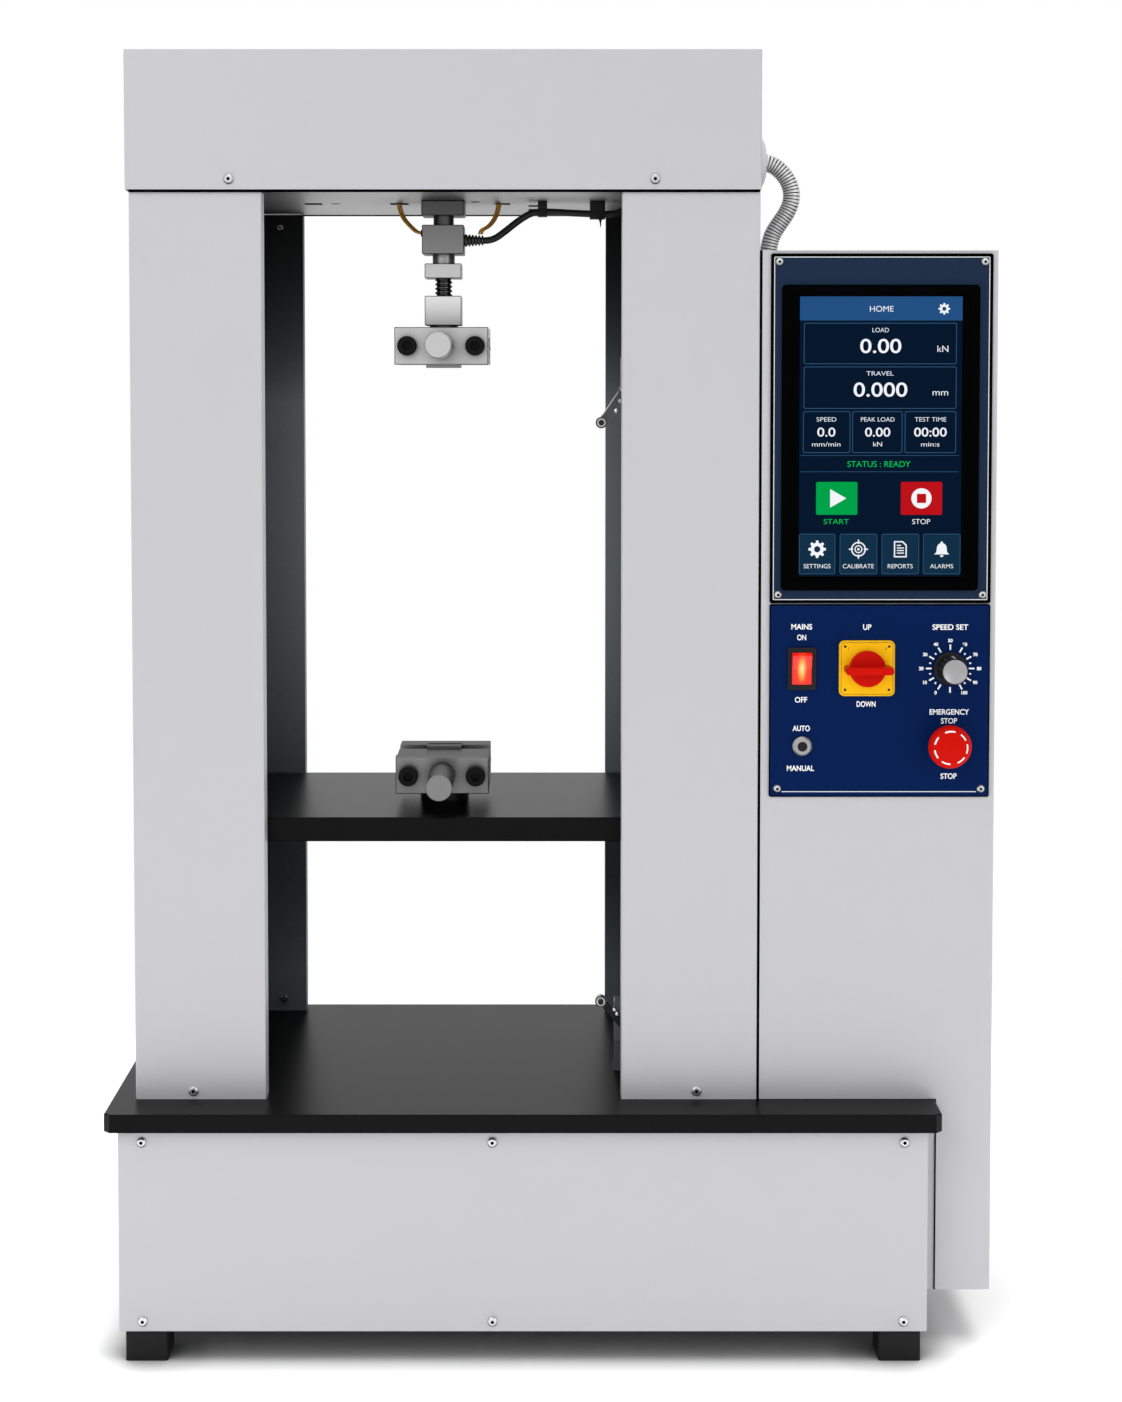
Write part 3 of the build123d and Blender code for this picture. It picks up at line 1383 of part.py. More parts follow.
# Every node of the machine by its name
nodes = {
    "base_plate": make_base_plate(),
    "base_shell": make_base_shell(),
    "base_front_cover": make_base_front_cover(),
    "feet": make_feet(),
    "left_column_cover": make_column_cover(left_outer, left_inner),
    "right_column_cover": make_column_cover(right_outer, right_inner),
    "rear_panels": together([make_rear_panel(left_outer, left_inner), make_rear_panel(right_outer, right_inner)]),
    "guide_rods": make_guide_rods(),
    "top_plate": make_top_plate(),
    "head_cover": make_head_cover(),
    "screw_bearings": make_screw_bearings(),
    "drive_motor": make_drive_motor(),
    "timing_belts": make_timing_belts(),
    "cabinet_shell": make_cabinet_shell(),
    "cabinet_front": make_cabinet_front(),
    "display_panel": make_display_panel(),
    "touch_screen": make_touch_screen(),
    "control_panel": make_control_panel(),
    "mains_switch_body": make_mains_switch_body(),
    "cam_switch_body": make_cam_switch_body(),
    "mode_switch_bush": make_mode_switch_bush(),
    "switch_bodies": make_switch_bodies(),
    "servo_drive": make_servo_drive(),
    "power_inlet": make_power_inlet(),
    "conduit": cord("conduit", conduit_points(), conduit_radius),
    "load_cell_cable": cord("load cell cable", cable_points(), cable_radius),
    "load_cell_wires": together([cord("wire", wire_points(side), wire_radius) for side in (-1, 1)]),
    "cable_fittings": make_cable_fittings(),
    "load_hanger": make_load_hanger(),
    "load_cell": make_load_cell(),
    "coupling_nut": make_coupling_nut(),
    "threaded_rod": make_threaded_rod(),
    "grip_adapter": make_grip_adapter(),
    "upper_grip_body": upper_place() * make_grip_body(),
    "upper_tie_bolts": upper_place() * make_tie_bolts(),
    "upper_jaw": upper_place() * make_jaw(),
    "upper_clamp_screw": upper_place() * make_clamp_screw(),
    "cover_screws": make_cover_screws(),
    "limit_switches": make_limit_switches(),
    "crosshead_plate": make_crosshead_plate(),
    "screw_nuts": make_screw_nuts(),
    "guide_bushes": make_guide_bushes(),
    "lower_grip_base": make_lower_grip_base(),
    "lower_grip_body": lower_place() * make_grip_body(),
    "lower_tie_bolts": lower_place() * make_tie_bolts(),
    "lower_jaw": lower_place() * make_jaw(),
    "lower_clamp_screw": lower_place() * make_clamp_screw(),
    "left_lead_screw": make_lead_screw(screw_xs[0], [link_pulley_top]),
    "right_lead_screw": make_lead_screw(screw_xs[1], [link_pulley_top, motor_pulley_top]),
    "motor_pulley": make_motor_pulley(),
    "mains_rocker": make_mains_rocker(),
    "cam_switch_handle": make_cam_switch_handle(),
    "speed_knob": make_speed_knob(),
    "estop_stem": make_estop_stem(),
    "estop_head": make_estop_head(),
    "mode_button": make_mode_button(),
    "upper_limit_lever": make_lever(upper_pivot, upper_roller_z),
    "lower_limit_lever": make_lever(lower_pivot, lower_roller_z),
    "upper_limit_roller": make_roller(upper_roller_z),
    "lower_limit_roller": make_roller(lower_roller_z),
}

os.makedirs("parts", exist_ok=True)
for name, shape in nodes.items():
    export_step(shape, f"parts/{name}.step")

print(f"{len(nodes)} nodes, overall {overall_width:.1f} by {plate_depth:.1f} by {head_top:.1f} mm")
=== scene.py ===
"""A bench testing machine: its finishes, screen, lettering, cables and small fittings, in a plain studio."""

import json
import math

import bmesh
import bpy
from mathutils import Matrix, Vector


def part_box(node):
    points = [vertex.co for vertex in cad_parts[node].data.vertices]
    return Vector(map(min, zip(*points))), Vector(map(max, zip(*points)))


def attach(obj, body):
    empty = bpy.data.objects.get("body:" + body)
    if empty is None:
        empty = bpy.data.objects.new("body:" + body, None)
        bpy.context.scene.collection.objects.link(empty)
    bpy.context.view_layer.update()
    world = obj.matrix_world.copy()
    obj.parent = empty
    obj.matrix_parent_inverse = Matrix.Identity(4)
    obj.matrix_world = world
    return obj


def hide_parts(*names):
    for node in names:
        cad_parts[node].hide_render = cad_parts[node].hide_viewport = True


bl_info = {
    "name": "Bench Testing Machine",
    "version": (1, 0, 0),
    "blender": (4, 5, 0),
    "location": "3D View > Sidebar > Tester",
    "description": "Dresses the frame of a bench testing machine and sets up its studio",
    "category": "Object",
}

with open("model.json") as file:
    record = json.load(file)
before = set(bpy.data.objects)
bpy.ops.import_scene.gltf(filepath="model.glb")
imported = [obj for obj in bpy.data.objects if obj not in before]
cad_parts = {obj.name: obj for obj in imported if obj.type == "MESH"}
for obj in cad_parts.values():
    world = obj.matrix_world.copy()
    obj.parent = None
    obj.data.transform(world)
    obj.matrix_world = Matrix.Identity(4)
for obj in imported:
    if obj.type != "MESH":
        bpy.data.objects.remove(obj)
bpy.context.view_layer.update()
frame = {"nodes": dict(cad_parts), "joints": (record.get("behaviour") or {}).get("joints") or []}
MM = 0.001

TURN = 2 * math.pi
ROUND_STEPS = 48
CORNER_STEPS = 6
SHARP_ANGLE = math.radians(32)
FRONT = (0, 1, 0)                      # the axis of parts on the front, into the machine

PANEL_CORNER = 2.0 * MM                # corner radius of the two panels
EDGE_PROUD = 0.06 * MM                 # how far a printed edge stands proud
SCREEN_SPAN = 154.4                    # width of the screen's drawing, in its own millimetres
SCREEN_LAYER = 0.10 * MM               # depth of one layer of the screen's picture
SCREEN_BOLD, SCREEN_FINE = 0.008, -0.004   # weight of tall and of small letters on the screen
TALL_LETTER = 6                        # millimetres from which the screen's letters are bold
PANEL_WEIGHT, DIAL_WEIGHT = 0.016, 0.04    # weight of the control panel's and the dial's letters
RIB_SIDES, RIB_RINGS = 32, 6           # sides of the conduit, and rings for each of its ribs
THREAD_SIDES = 40                      # sides of the threaded rod
GLAND_REACH = 15.5 * MM                # from the head's side to the start of the conduit
BUSH_HEIGHT = 5 * MM                   # from the cabinet's top to the end of the conduit
RELIEF_REACH = 19.7 * MM               # from the load cell's side to the start of its cable
WIRE_BACK = 25 * MM                    # from the load cell's middle back to the wires' slots
LEVER_FACE = -70.6 * MM                # front face of the limit switches' levers
STOP_RING = (14.5 * MM, 15.2 * MM, 15.9 * MM)   # inner, middle and outer radius of the broken ring

# Millimetres out from the head's side and down from the gland's axis
CONDUIT_POINTS = ((15.5, 0.0), (20.0, 0.8), (27.0, 5.0), (33.4, 11.2), (38.6, 19.5), (41.2, 29.5),
                  (40.2, 39.5), (36.0, 49.0), (30.0, 57.5), (24.0, 66.5), (20.0, 75.5))
# Millimetres from the gland and up: from the load cell's level, then from the run below the top plate
CABLE_RISE = ((0.0, 0.0), (8.0, 0.0), (21.0, 9.5), (34.0, 20.0))
CABLE_RUN = ((46.5, -0.6), (57.0, 0.0), (66.0, 0.1), (88.0, -1.2), (102.0, -1.8), (111.0, -2.2),
             (120.0, -2.4), (131.0, -1.6), (138.5, 4.0), (141.0, 12.0))
NEAR_CLIP, FAR_CLIP = 5, 9             # the cable's points that its clips hold


# Places taken from the frame


def corners(node):
    """The lowest and highest corner of a node, as vectors."""
    low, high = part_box(node)
    return Vector(low), Vector(high)


def centre(node):
    """The middle of a node's box."""
    low, high = corners(node)
    return (low + high) / 2


def panel_point(across, down):
    """A place on the control panel's face, in millimetres from its left and top edges."""
    low, high = corners("control_panel")
    return low.x + across * MM, high.z - down * MM


def joint_place(child):
    """Where a moving node's joint is."""
    return Vector(next(row for row in frame["joints"] if row["child"] == child)["pos_m"])


# Settings


def colour(name, description, default):
    """A colour setting."""
    return bpy.props.FloatVectorProperty(
        name=name, description=description, subtype="COLOR", default=default, min=0, max=1)


def distance(name, description, default):
    """A size setting, in metres."""
    return bpy.props.FloatProperty(name=name, description=description, subtype="DISTANCE", default=default)


def power(name, description, default):
    """A setting for a lamp's power."""
    return bpy.props.FloatProperty(name=name, description=description, subtype="POWER", default=default)


class TesterColours(bpy.types.PropertyGroup):
    """Colours of the machine's finishes."""

    cover: colour("Covers", "Powder coat of the covers and the cabinet", (0.476, 0.475, 0.496))
    bed: colour("Bed", "Black coat of the bed and the crosshead", (0.0022, 0.0022, 0.0024))
    rear_panel: colour("Rear panels", "Slate coat inside the columns", (0.430, 0.485, 0.530))
    navy: colour("Display panel", "Dark coat around the screen", (0.0095, 0.0215, 0.050))
    blue: colour("Control panel", "Blue coat around the controls", (0.0008, 0.0115, 0.069))
    steel: colour("Machined steel", "Blocks, grips and pins", (0.47, 0.47, 0.472))
    plate_steel: colour("Top plate", "Rolled steel of the top plate", (0.345, 0.345, 0.348))
    black_steel: colour("Black steel", "Blackened bolts and brackets", (0.012, 0.012, 0.012))
    silver: colour("Plated steel", "Screws, rods and rings", (0.62, 0.62, 0.63))
    bronze: colour("Bronze", "Lead screw nuts", (0.42, 0.25, 0.10))
    rubber: colour("Rubber", "Feet, cable and belts", (0.010, 0.010, 0.010))
    plastic: colour("Black plastic", "Switch cases, knob skirt and clips", (0.013, 0.013, 0.014))
    red: colour("Red plastic", "Stop button and switch handle", (0.54, 0.0050, 0.0016))
    yellow: colour("Yellow plastic", "Front plate of the cam switch", (0.87, 0.47, 0.003))
    wire: colour("Wire sheath", "Thin wires of the load cell", (0.56, 0.27, 0.032))
    conduit: colour("Conduit", "Ribbed conduit and its gland", (0.76, 0.76, 0.76))
    ink: colour("Ink", "Printed letters, ticks and lines", (0.90, 0.91, 0.93))
    mark: colour("Marks", "Stop button's ring and the knob's pointer", (0.86, 0.85, 0.83))


class TesterScreen(bpy.types.PropertyGroup):
    """Colours and sizes of what the screen shows."""

    width: distance("Lit width", "Width of the lit area", 0.1505)
    height: distance("Lit height", "Height of the lit area", 0.2598)
    shift_x: distance("Shift across", "Lit area's middle from the bezel's", 0.0)
    shift_z: distance("Shift up", "Lit area's middle from the bezel's", 0.0013)
    back: colour("Background", "Dark ground of the screen", (0.0022, 0.0088, 0.0260))
    bar: colour("Title bar", "Bar at the top", (0.0170, 0.080, 0.225))
    line: colour("Lines", "Outlines of the boxes", (0.029, 0.086, 0.170))
    tile: colour("Tiles", "Tiles of the bottom row", (0.0058, 0.029, 0.062))
    bright: colour("Figures", "Figures and icons", (0.90, 0.92, 0.96))
    dim: colour("Labels", "Small labels", (0.80, 0.84, 0.92))
    go: colour("Start", "Start button", (0.0, 0.36, 0.068))
    go_text: colour("Status", "Status words", (0.0, 0.56, 0.10))
    halt: colour("Stop", "Stop button", (0.50, 0.006, 0.010))


class TesterSizes(bpy.types.PropertyGroup):
    """Sizes of the small things that are drawn here."""

    letter: distance("Letters", "Height of the panel's capital letters", 0.0049)
    ink_height: distance("Ink", "Thickness of printed ink", 0.00012)
    line: distance("Line", "Width of the panels' silver lines", 0.0007)
    rib_pitch: distance("Conduit rib", "Distance between the conduit's ribs", 0.0030)
    rib_depth: distance("Rib depth", "Depth of the grooves between ribs", 0.0012)
    conduit: distance("Conduit", "Outside diameter of the conduit", 0.0168)
    cable: distance("Cable", "Diameter of the load cell's cable", 0.0068)
    strand: distance("Strand", "Diameter of one thin wire", 0.0025)
    thread_pitch: distance("Thread pitch", "Pitch of the threaded rod", 0.0042)
    thread_depth: distance("Thread depth", "Depth of the threaded rod's thread", 0.0016)
    screw_lead: distance("Lead", "Travel of the crosshead for each turn", 0.010)


class TesterStudio(bpy.types.PropertyGroup):
    """The camera and the light."""

    lens: bpy.props.FloatProperty(
        name="Lens", description="Focal length on a 36 mm frame", subtype="DISTANCE_CAMERA", default=57.98)
    place: bpy.props.FloatVectorProperty(
        name="Camera", description="Where the camera stands", subtype="TRANSLATION",
        default=(-0.00815, -2.2387, 0.9195))
    pitch: bpy.props.FloatProperty(
        name="Pitch", description="How far the camera looks down", subtype="ANGLE",
        default=math.radians(2.61))
    roll: bpy.props.FloatProperty(
        name="Roll", description="Turn of the camera about its view", subtype="ANGLE", default=0.0)
    shift_x: bpy.props.FloatProperty(name="Shift across", description="Lens shift across", default=0.0130)
    shift_y: bpy.props.FloatProperty(name="Shift up", description="Lens shift up", default=-0.1583)
    ambient: bpy.props.FloatProperty(
        name="Ambient", description="Strength of the surrounding light", default=0.62)
    key: power("Key", "Power of the main lamp", 46.0)
    fill: power("Fill", "Power of the side lamp", 16.0)
    top: power("Top", "Power of the overhead lamp", 14.0)
    paper: power("Paper", "Power of the lamp that whitens the floor", 130.0)


# Mesh helpers


def ride_frame(piece, body):
    """Tie a finished piece to its body."""
    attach(piece, body)
    return piece


def piece_from(name, mesh_data, finish, body="frame", smooth=True):
    """A new object from a bmesh, shaded, in its finish, on its body."""
    bmesh.ops.recalc_face_normals(mesh_data, faces=mesh_data.faces)
    mesh = bpy.data.meshes.new(name)
    mesh_data.to_mesh(mesh)
    mesh_data.free()
    if smooth:
        mesh.polygons.foreach_set("use_smooth", [True] * len(mesh.polygons))
        mesh.set_sharp_from_angle(angle=SHARP_ANGLE)
    mesh.materials.append(MATERIALS[finish])
    piece = bpy.data.objects.new(name, mesh)
    bpy.context.scene.collection.objects.link(piece)
    return ride_frame(piece, body)


def turned(name, profile, origin, axis, steps, finish, body="frame"):
    """A turned piece, its profile in millimetres."""
    made = bmesh.new()
    lathe(made, profile, origin, axis, steps)
    return piece_from(name, made, finish, body)


def quads(mesh_data, rows, wrap):
    """Faces between neighbouring rows of vertices, closed round where wrap is set."""
    for first, second in zip(rows, rows[1:]):
        for index in range(len(first) if wrap else len(first) - 1):
            after = (index + 1) % len(first)
            mesh_data.faces.new((first[index], first[after], second[after], second[index]))


def prism(mesh_data, outline, back, front):
    """A closed solid with the given front outline (x, z), from a back to a front depth."""
    near, far = ([mesh_data.verts.new((x, depth, z)) for x, z in outline] for depth in (front, back))
    mesh_data.faces.new(near)
    mesh_data.faces.new(far[::-1])
    quads(mesh_data, (near, far), True)


def band(mesh_data, outer, inner, back, front):
    """A flat band between two outlines of equal count."""
    rows = [[mesh_data.verts.new((x, depth, z)) for x, z in outline]
            for outline, depth in ((outer, front), (outer, back), (inner, back), (inner, front))]
    quads(mesh_data, rows + rows[:1], True)


def rounded(x0, x1, z0, z1, radius):
    """The outline of a rectangle with rounded corners."""
    points = []
    spots = ((x1 - radius, z1 - radius, 0), (x0 + radius, z1 - radius, 90),
             (x0 + radius, z0 + radius, 180), (x1 - radius, z0 + radius, 270))
    for x, z, start in spots:
        points += arc(x, z, radius, start, start + 90, CORNER_STEPS)
    return points


def inset(low, high, inside, radius):
    """A rounded outline that keeps a distance inside a box's front."""
    return rounded(low.x + inside, high.x - inside, low.z + inside, high.z - inside, radius)


def arc(x, z, radius, start, end, steps):
    """Points of an arc, in degrees from +X towards +Z."""
    turns = [math.radians(start + (end - start) * step / steps) for step in range(steps + 1)]
    return [(x + radius * math.cos(turn), z + radius * math.sin(turn)) for turn in turns]


def circle(x, z, radius, steps=ROUND_STEPS):
    """The outline of a circle."""
    return arc(x, z, radius, 0, 360, steps)[:-1]


def bar(mesh_data, x0, x1, z0, z1, back, front):
    """A plain flat bar."""
    prism(mesh_data, [(x0, z0), (x1, z0), (x1, z1), (x0, z1)], back, front)


def stroke(mesh_data, start, end, width, back, front):
    """A straight stroke of even width between two points (x, z)."""
    start, end = Vector(start), Vector(end)
    along = (end - start).normalized() * width / 2
    across = Vector((-along.y, along.x))
    prism(mesh_data, [start + across, end + across, end - across, start - across], back, front)


def lathe(mesh_data, profile, origin, axis, steps=ROUND_STEPS):
    """A turned solid: millimetres (along the axis, radius), closed where the radius is 0."""
    axis = Vector(axis).normalized()
    side = axis.orthogonal().normalized()
    other = axis.cross(side)
    turns = [TURN * step / steps for step in range(steps)]
    rings = []
    for along, radius in profile:
        middle, reach = Vector(origin) + axis * (along * MM), radius * MM
        if radius == 0:
            rings.append([mesh_data.verts.new(middle)])
            continue
        rings.append([mesh_data.verts.new(middle + reach * (side * math.cos(turn) + other * math.sin(turn)))
                      for turn in turns])
    for first, second in zip(rings, rings[1:]):
        join_rings(mesh_data, first, second)


def join_rings(mesh_data, first, second):
    """Faces between two rings, either of which may be one point."""
    steps = max(len(first), len(second))
    for step in range(steps):
        after = (step + 1) % steps
        ring = []
        for vert in (first[step % len(first)], first[after % len(first)],
                     second[after % len(second)], second[step % len(second)]):
            if vert not in ring:
                ring.append(vert)
        mesh_data.faces.new(ring)


def box_solid(mesh_data, low, high):
    """A box between two corners."""
    matrix = Matrix.Translation((Vector(low) + Vector(high)) / 2)
    size = Vector(high) - Vector(low)
    bmesh.ops.create_cube(mesh_data, size=1, matrix=matrix @ Matrix.Diagonal((*size, 1)))


def soft_box(mesh_data, low, high, bevel):
    """A box with rounded edges, added to a mesh."""
    part = bmesh.new()
    box_solid(part, low, high)
    bmesh.ops.bevel(part, geom=part.edges[:], offset=bevel, segments=2, affect="EDGES", profile=0.7)
    holder = bpy.data.meshes.new("holder")
    part.to_mesh(holder)
    part.free()
    mesh_data.from_mesh(holder)
    bpy.data.meshes.remove(holder)


def curve_mesh(curve):
    """The mesh of a curve or of words, which are removed."""
    holder = bpy.data.objects.new("holder", curve)
    bpy.context.scene.collection.objects.link(holder)
    bpy.context.view_layer.update()
    mesh = bpy.data.meshes.new_from_object(holder.evaluated_get(bpy.context.evaluated_depsgraph_get()))
    bpy.data.objects.remove(holder)
    bpy.data.curves.remove(curve)
    return mesh


def words_mesh(mesh_data, words, x, z, height, front, depth, width=None, weight=0.0):
    """Raised words facing the front, about a middle, of a capital height and, where given, a width."""
    curve = bpy.data.curves.new("words", "FONT")
    curve.body = words
    curve.align_x = "LEFT"
    curve.extrude = 0.5
    curve.offset = weight
    mesh = curve_mesh(curve)
    xs = [vert.co.x for vert in mesh.vertices]
    left, right = min(xs), max(xs)
    scale = height / CAPITAL
    across = width / (right - left) if width else scale
    start = x - (left + right) / 2 * across
    base = z - height / 2
    for vert in mesh.vertices:
        vert.co = (start + vert.co.x * across, front + depth * (0.5 - vert.co.z), base + vert.co.y * scale)
    mesh_data.from_mesh(mesh)
    bpy.data.meshes.remove(mesh)


def capital_height():
    """The height of a capital letter in the built-in font at size 1."""
    curve = bpy.data.curves.new("letter", "FONT")
    curve.body = "H"
    mesh = curve_mesh(curve)
    height = max(vert.co.y for vert in mesh.vertices)
    bpy.data.meshes.remove(mesh)
    return height


CAPITAL = capital_height()


def route_curve(name, points):
    """A smooth open spline with the given control points."""
    curve = bpy.data.curves.new(name, "CURVE")
    curve.dimensions = "3D"
    spline = curve.splines.new("NURBS")
    spline.points.add(len(points) - 1)
    for place, point in zip(spline.points, points):
        place.co = (*point, 1.0)
    spline.order_u = 3
    spline.use_endpoint_u = True
    spline.resolution_u = 12
    return curve


def route_line(points):
    """The centreline of a route's spline, as a list of points."""
    mesh = curve_mesh(route_curve("route", points))
    line = [vert.co.copy() for vert in mesh.vertices]
    bpy.data.meshes.remove(mesh)
    return line


def line_length(line):
    """The length of a list of points."""
    return sum((after - before).length for before, after in zip(line, line[1:]))


def stations(line, step):
    """(point, direction) at even steps along a line, ends included."""
    total = line_length(line)
    count = max(2, round(total / step))
    found = []
    index, walked = 0, 0.0
    for place in range(count + 1):
        target = total * place / count
        while index < len(line) - 2 and walked + (line[index + 1] - line[index]).length < target:
            walked += (line[index + 1] - line[index]).length
            index += 1
        piece = line[index + 1] - line[index]
        share = min(1.0, (target - walked) / piece.length)
        found.append((line[index] + piece * share, piece.normalized()))
    return found


# Shader nodes


def feed(tree, socket, value):
    """Link a socket to another one, or set it where the value is a number or a vector."""
    if isinstance(value, bpy.types.NodeSocket):
        tree.links.new(value, socket)
    elif value is not None:
        socket.default_value = value


def math_node(tree, operation, first, second=None):
    """A Math node fed by sockets or numbers."""
    made = tree.nodes.new("ShaderNodeMath")
    made.operation = operation
    feed(tree, made.inputs[0], first)
    feed(tree, made.inputs[1], second)
    return made.outputs[0]


def vector_node(tree, operation, first, second=None):
    """A Vector Math node fed by sockets or vectors."""
    made = tree.nodes.new("ShaderNodeVectorMath")
    made.operation = operation
    feed(tree, made.inputs[0], first)
    feed(tree, made.inputs[1], second)
    return made.outputs["Value" if operation == "LENGTH" else "Vector"]


def split_node(tree, vector):
    """A vector's three values."""
    split = tree.nodes.new("ShaderNodeSeparateXYZ")
    tree.links.new(vector, split.inputs[0])
    return split.outputs


def place_node(tree):
    """The object's own coordinates."""
    return tree.nodes.new("ShaderNodeTexCoord").outputs["Object"]


def shade_node(tree, colour, factor):
    """The colour multiplied by a grey factor."""
    mix = tree.nodes.new("ShaderNodeMix")
    mix.data_type = "RGBA"
    mix.blend_type = "MULTIPLY"
    mix.inputs["Factor"].default_value = 1.0
    tree.links.new(colour, mix.inputs["A"])
    tree.links.new(factor, mix.inputs["B"])
    return mix.outputs["Result"]


def noise_node(tree, scale, detail=3.0, stretch=None):
    """Noise over the object's own coordinates, stretched where asked."""
    noise = tree.nodes.new("ShaderNodeTexNoise")
    noise.inputs["Detail"].default_value = detail
    source = place_node(tree)
    if stretch is not None:
        source = vector_node(tree, "MULTIPLY", source, stretch)
    tree.links.new(source, noise.inputs["Vector"])
    feed(tree, noise.inputs["Scale"], scale)
    return noise.outputs["Fac"]


def bump_node(tree, height, strength, distance):
    """A normal from a height."""
    bump = tree.nodes.new("ShaderNodeBump")
    for label, value in (("Distance", distance), ("Height", height), ("Strength", strength)):
        feed(tree, bump.inputs[label], value)
    return bump.outputs["Normal"]


def range_node(tree, value, low, high, start=0.0, end=1.0):
    """A value between start and end, spread between low and high."""
    span = tree.nodes.new("ShaderNodeMapRange")
    for label, number in (("Value", value), ("From Min", start), ("From Max", end), ("To Min", low),
                          ("To Max", high)):
        feed(tree, span.inputs[label], number)
    return span.outputs["Result"]


def blend_node(tree, first, share, second):
    """Two values added, the first one with the given share."""
    return math_node(tree, "ADD", math_node(tree, "MULTIPLY", first, share),
                     math_node(tree, "MULTIPLY", second, 1 - share))


def about_one(tree, value, contrast):
    """A 0 to 1 value spread evenly about 1."""
    half = math_node(tree, "MULTIPLY", contrast, 0.5)
    return range_node(tree, value, math_node(tree, "SUBTRACT", 1.0, half), math_node(tree, "ADD", 1.0, half))


# Shader node groups


GREY = (0.5, 0.5, 0.5, 1.0)
GRAIN_OUTPUTS = {"Color": "Color", "Roughness": "Float", "Normal": "Vector"}


def new_group(name, inputs, outputs):
    """An empty shader group, with its input node's outputs and its output node's inputs."""
    group = bpy.data.node_groups.new(name, "ShaderNodeTree")
    for label, value in inputs.items():
        kind = {1: "Float", 3: "Vector", 4: "Color"}[len(value) if isinstance(value, tuple) else 1]
        socket = group.interface.new_socket(name=label, in_out="INPUT", socket_type=f"NodeSocket{kind}")
        socket.default_value = value
    for label, kind in outputs.items():
        group.interface.new_socket(name=label, in_out="OUTPUT", socket_type=f"NodeSocket{kind}")
    return group, group.nodes.new("NodeGroupInput").outputs, group.nodes.new("NodeGroupOutput").inputs


def coat_grain_group():
    """Powder coat and moulded plastic: a fine orange peel with slow, faint mottling."""
    group, enter, leave = new_group(
        "coat_grain", {"Color": GREY, "Peel Scale": 900.0, "Peel Depth": 0.12, "Mottle": 0.04,
                       "Roughness": 0.45}, GRAIN_OUTPUTS)
    slow = noise_node(group, 7.0, 4.0)
    fine = noise_node(group, enter["Peel Scale"], 2.0)
    shade = about_one(group, blend_node(group, slow, 0.7, fine), enter["Mottle"])
    group.links.new(shade_node(group, enter["Color"], shade), leave["Color"])
    rough = math_node(group, "MULTIPLY", enter["Roughness"], range_node(group, fine, 0.88, 1.12))
    group.links.new(rough, leave["Roughness"])
    group.links.new(bump_node(group, fine, enter["Peel Depth"], 0.0004), leave["Normal"])
    return group


def brushed_grain_group():
    """Machined and rolled metal: long fine scratches along one way, with faint clouding, and painted shade on
    faces turned down.
    """
    group, enter, leave = new_group(
        "brushed_grain", {"Color": GREY, "Stretch": (20.0, 1.0, 1.0), "Scale": 120.0, "Depth": 0.1,
                          "Contrast": 0.16, "Roughness": 0.35, "Under": 0.6}, GRAIN_OUTPUTS)
    lines = noise_node(group, enter["Scale"], 4.0, enter["Stretch"])
    cloud = noise_node(group, 24.0, 3.0)
    shade = about_one(group, blend_node(group, lines, 0.65, cloud), enter["Contrast"])
    # Painted shade: the base colour darkens on faces that turn down
    facing = group.nodes.new("ShaderNodeNewGeometry").outputs["Normal"]
    under = range_node(group, split_node(group, facing)["Z"], enter["Under"], 1.0, -0.9, 0.0)
    tone = math_node(group, "MULTIPLY", shade, under)
    group.links.new(shade_node(group, enter["Color"], tone), leave["Color"])
    rough = math_node(group, "MULTIPLY", enter["Roughness"], range_node(group, lines, 0.75, 1.25))
    group.links.new(rough, leave["Roughness"])
    group.links.new(bump_node(group, lines, enter["Depth"], 0.0002), leave["Normal"])
    return group


def thread_mask_group():
    """The winding groove of a screw about an upright axis: its mask and its normal."""
    group, enter, leave = new_group("thread_mask", {"Axis X": 0.0, "Axis Y": 0.0, "Lead": 0.01},
                                    {"Groove": "Float", "Normal": "Vector"})
    place = split_node(group, place_node(group))
    across = math_node(group, "SUBTRACT", place["X"], enter["Axis X"])
    away = math_node(group, "SUBTRACT", place["Y"], enter["Axis Y"])
    turn = math_node(group, "DIVIDE", math_node(group, "ARCTAN2", away, across), TURN)
    climb = math_node(group, "DIVIDE", place["Z"], enter["Lead"])
    phase = math_node(group, "FRACT", math_node(group, "SUBTRACT", climb, turn))
    wave = math_node(group, "ABSOLUTE", math_node(group, "SUBTRACT", phase, 0.5))
    groove = range_node(group, wave, 0.0, 1.0, 0.30, 0.12)
    groove.node.interpolation_type = "SMOOTHSTEP"
    group.links.new(groove, leave["Groove"])
    flat = math_node(group, "SUBTRACT", 1.0, groove)
    group.links.new(bump_node(group, flat, 1.0, 0.0012), leave["Normal"])
    return group


def contact_shade_group():
    """How open a place is: 1 in the open, less where something is close by; it darkens base colours as painted
    shade.
    """
    group, enter, leave = new_group("contact_shade", {"Reach": 0.1, "Power": 1.0, "Lift": (0.0, 0.0, 0.0)},
                                    {"Mask": "Float"})
    facing = group.nodes.new("ShaderNodeNewGeometry").outputs["Normal"]
    # The lift leans the painted shade towards what stands above
    lifted = vector_node(group, "ADD", facing, enter["Lift"])
    openness = group.nodes.new("ShaderNodeAmbientOcclusion")
    openness.samples = 12
    group.links.new(enter["Reach"], openness.inputs["Distance"])
    group.links.new(vector_node(group, "NORMALIZE", lifted), openness.inputs["Normal"])
    group.links.new(math_node(group, "POWER", openness.outputs["AO"], enter["Power"]), leave["Mask"])
    return group


# Materials


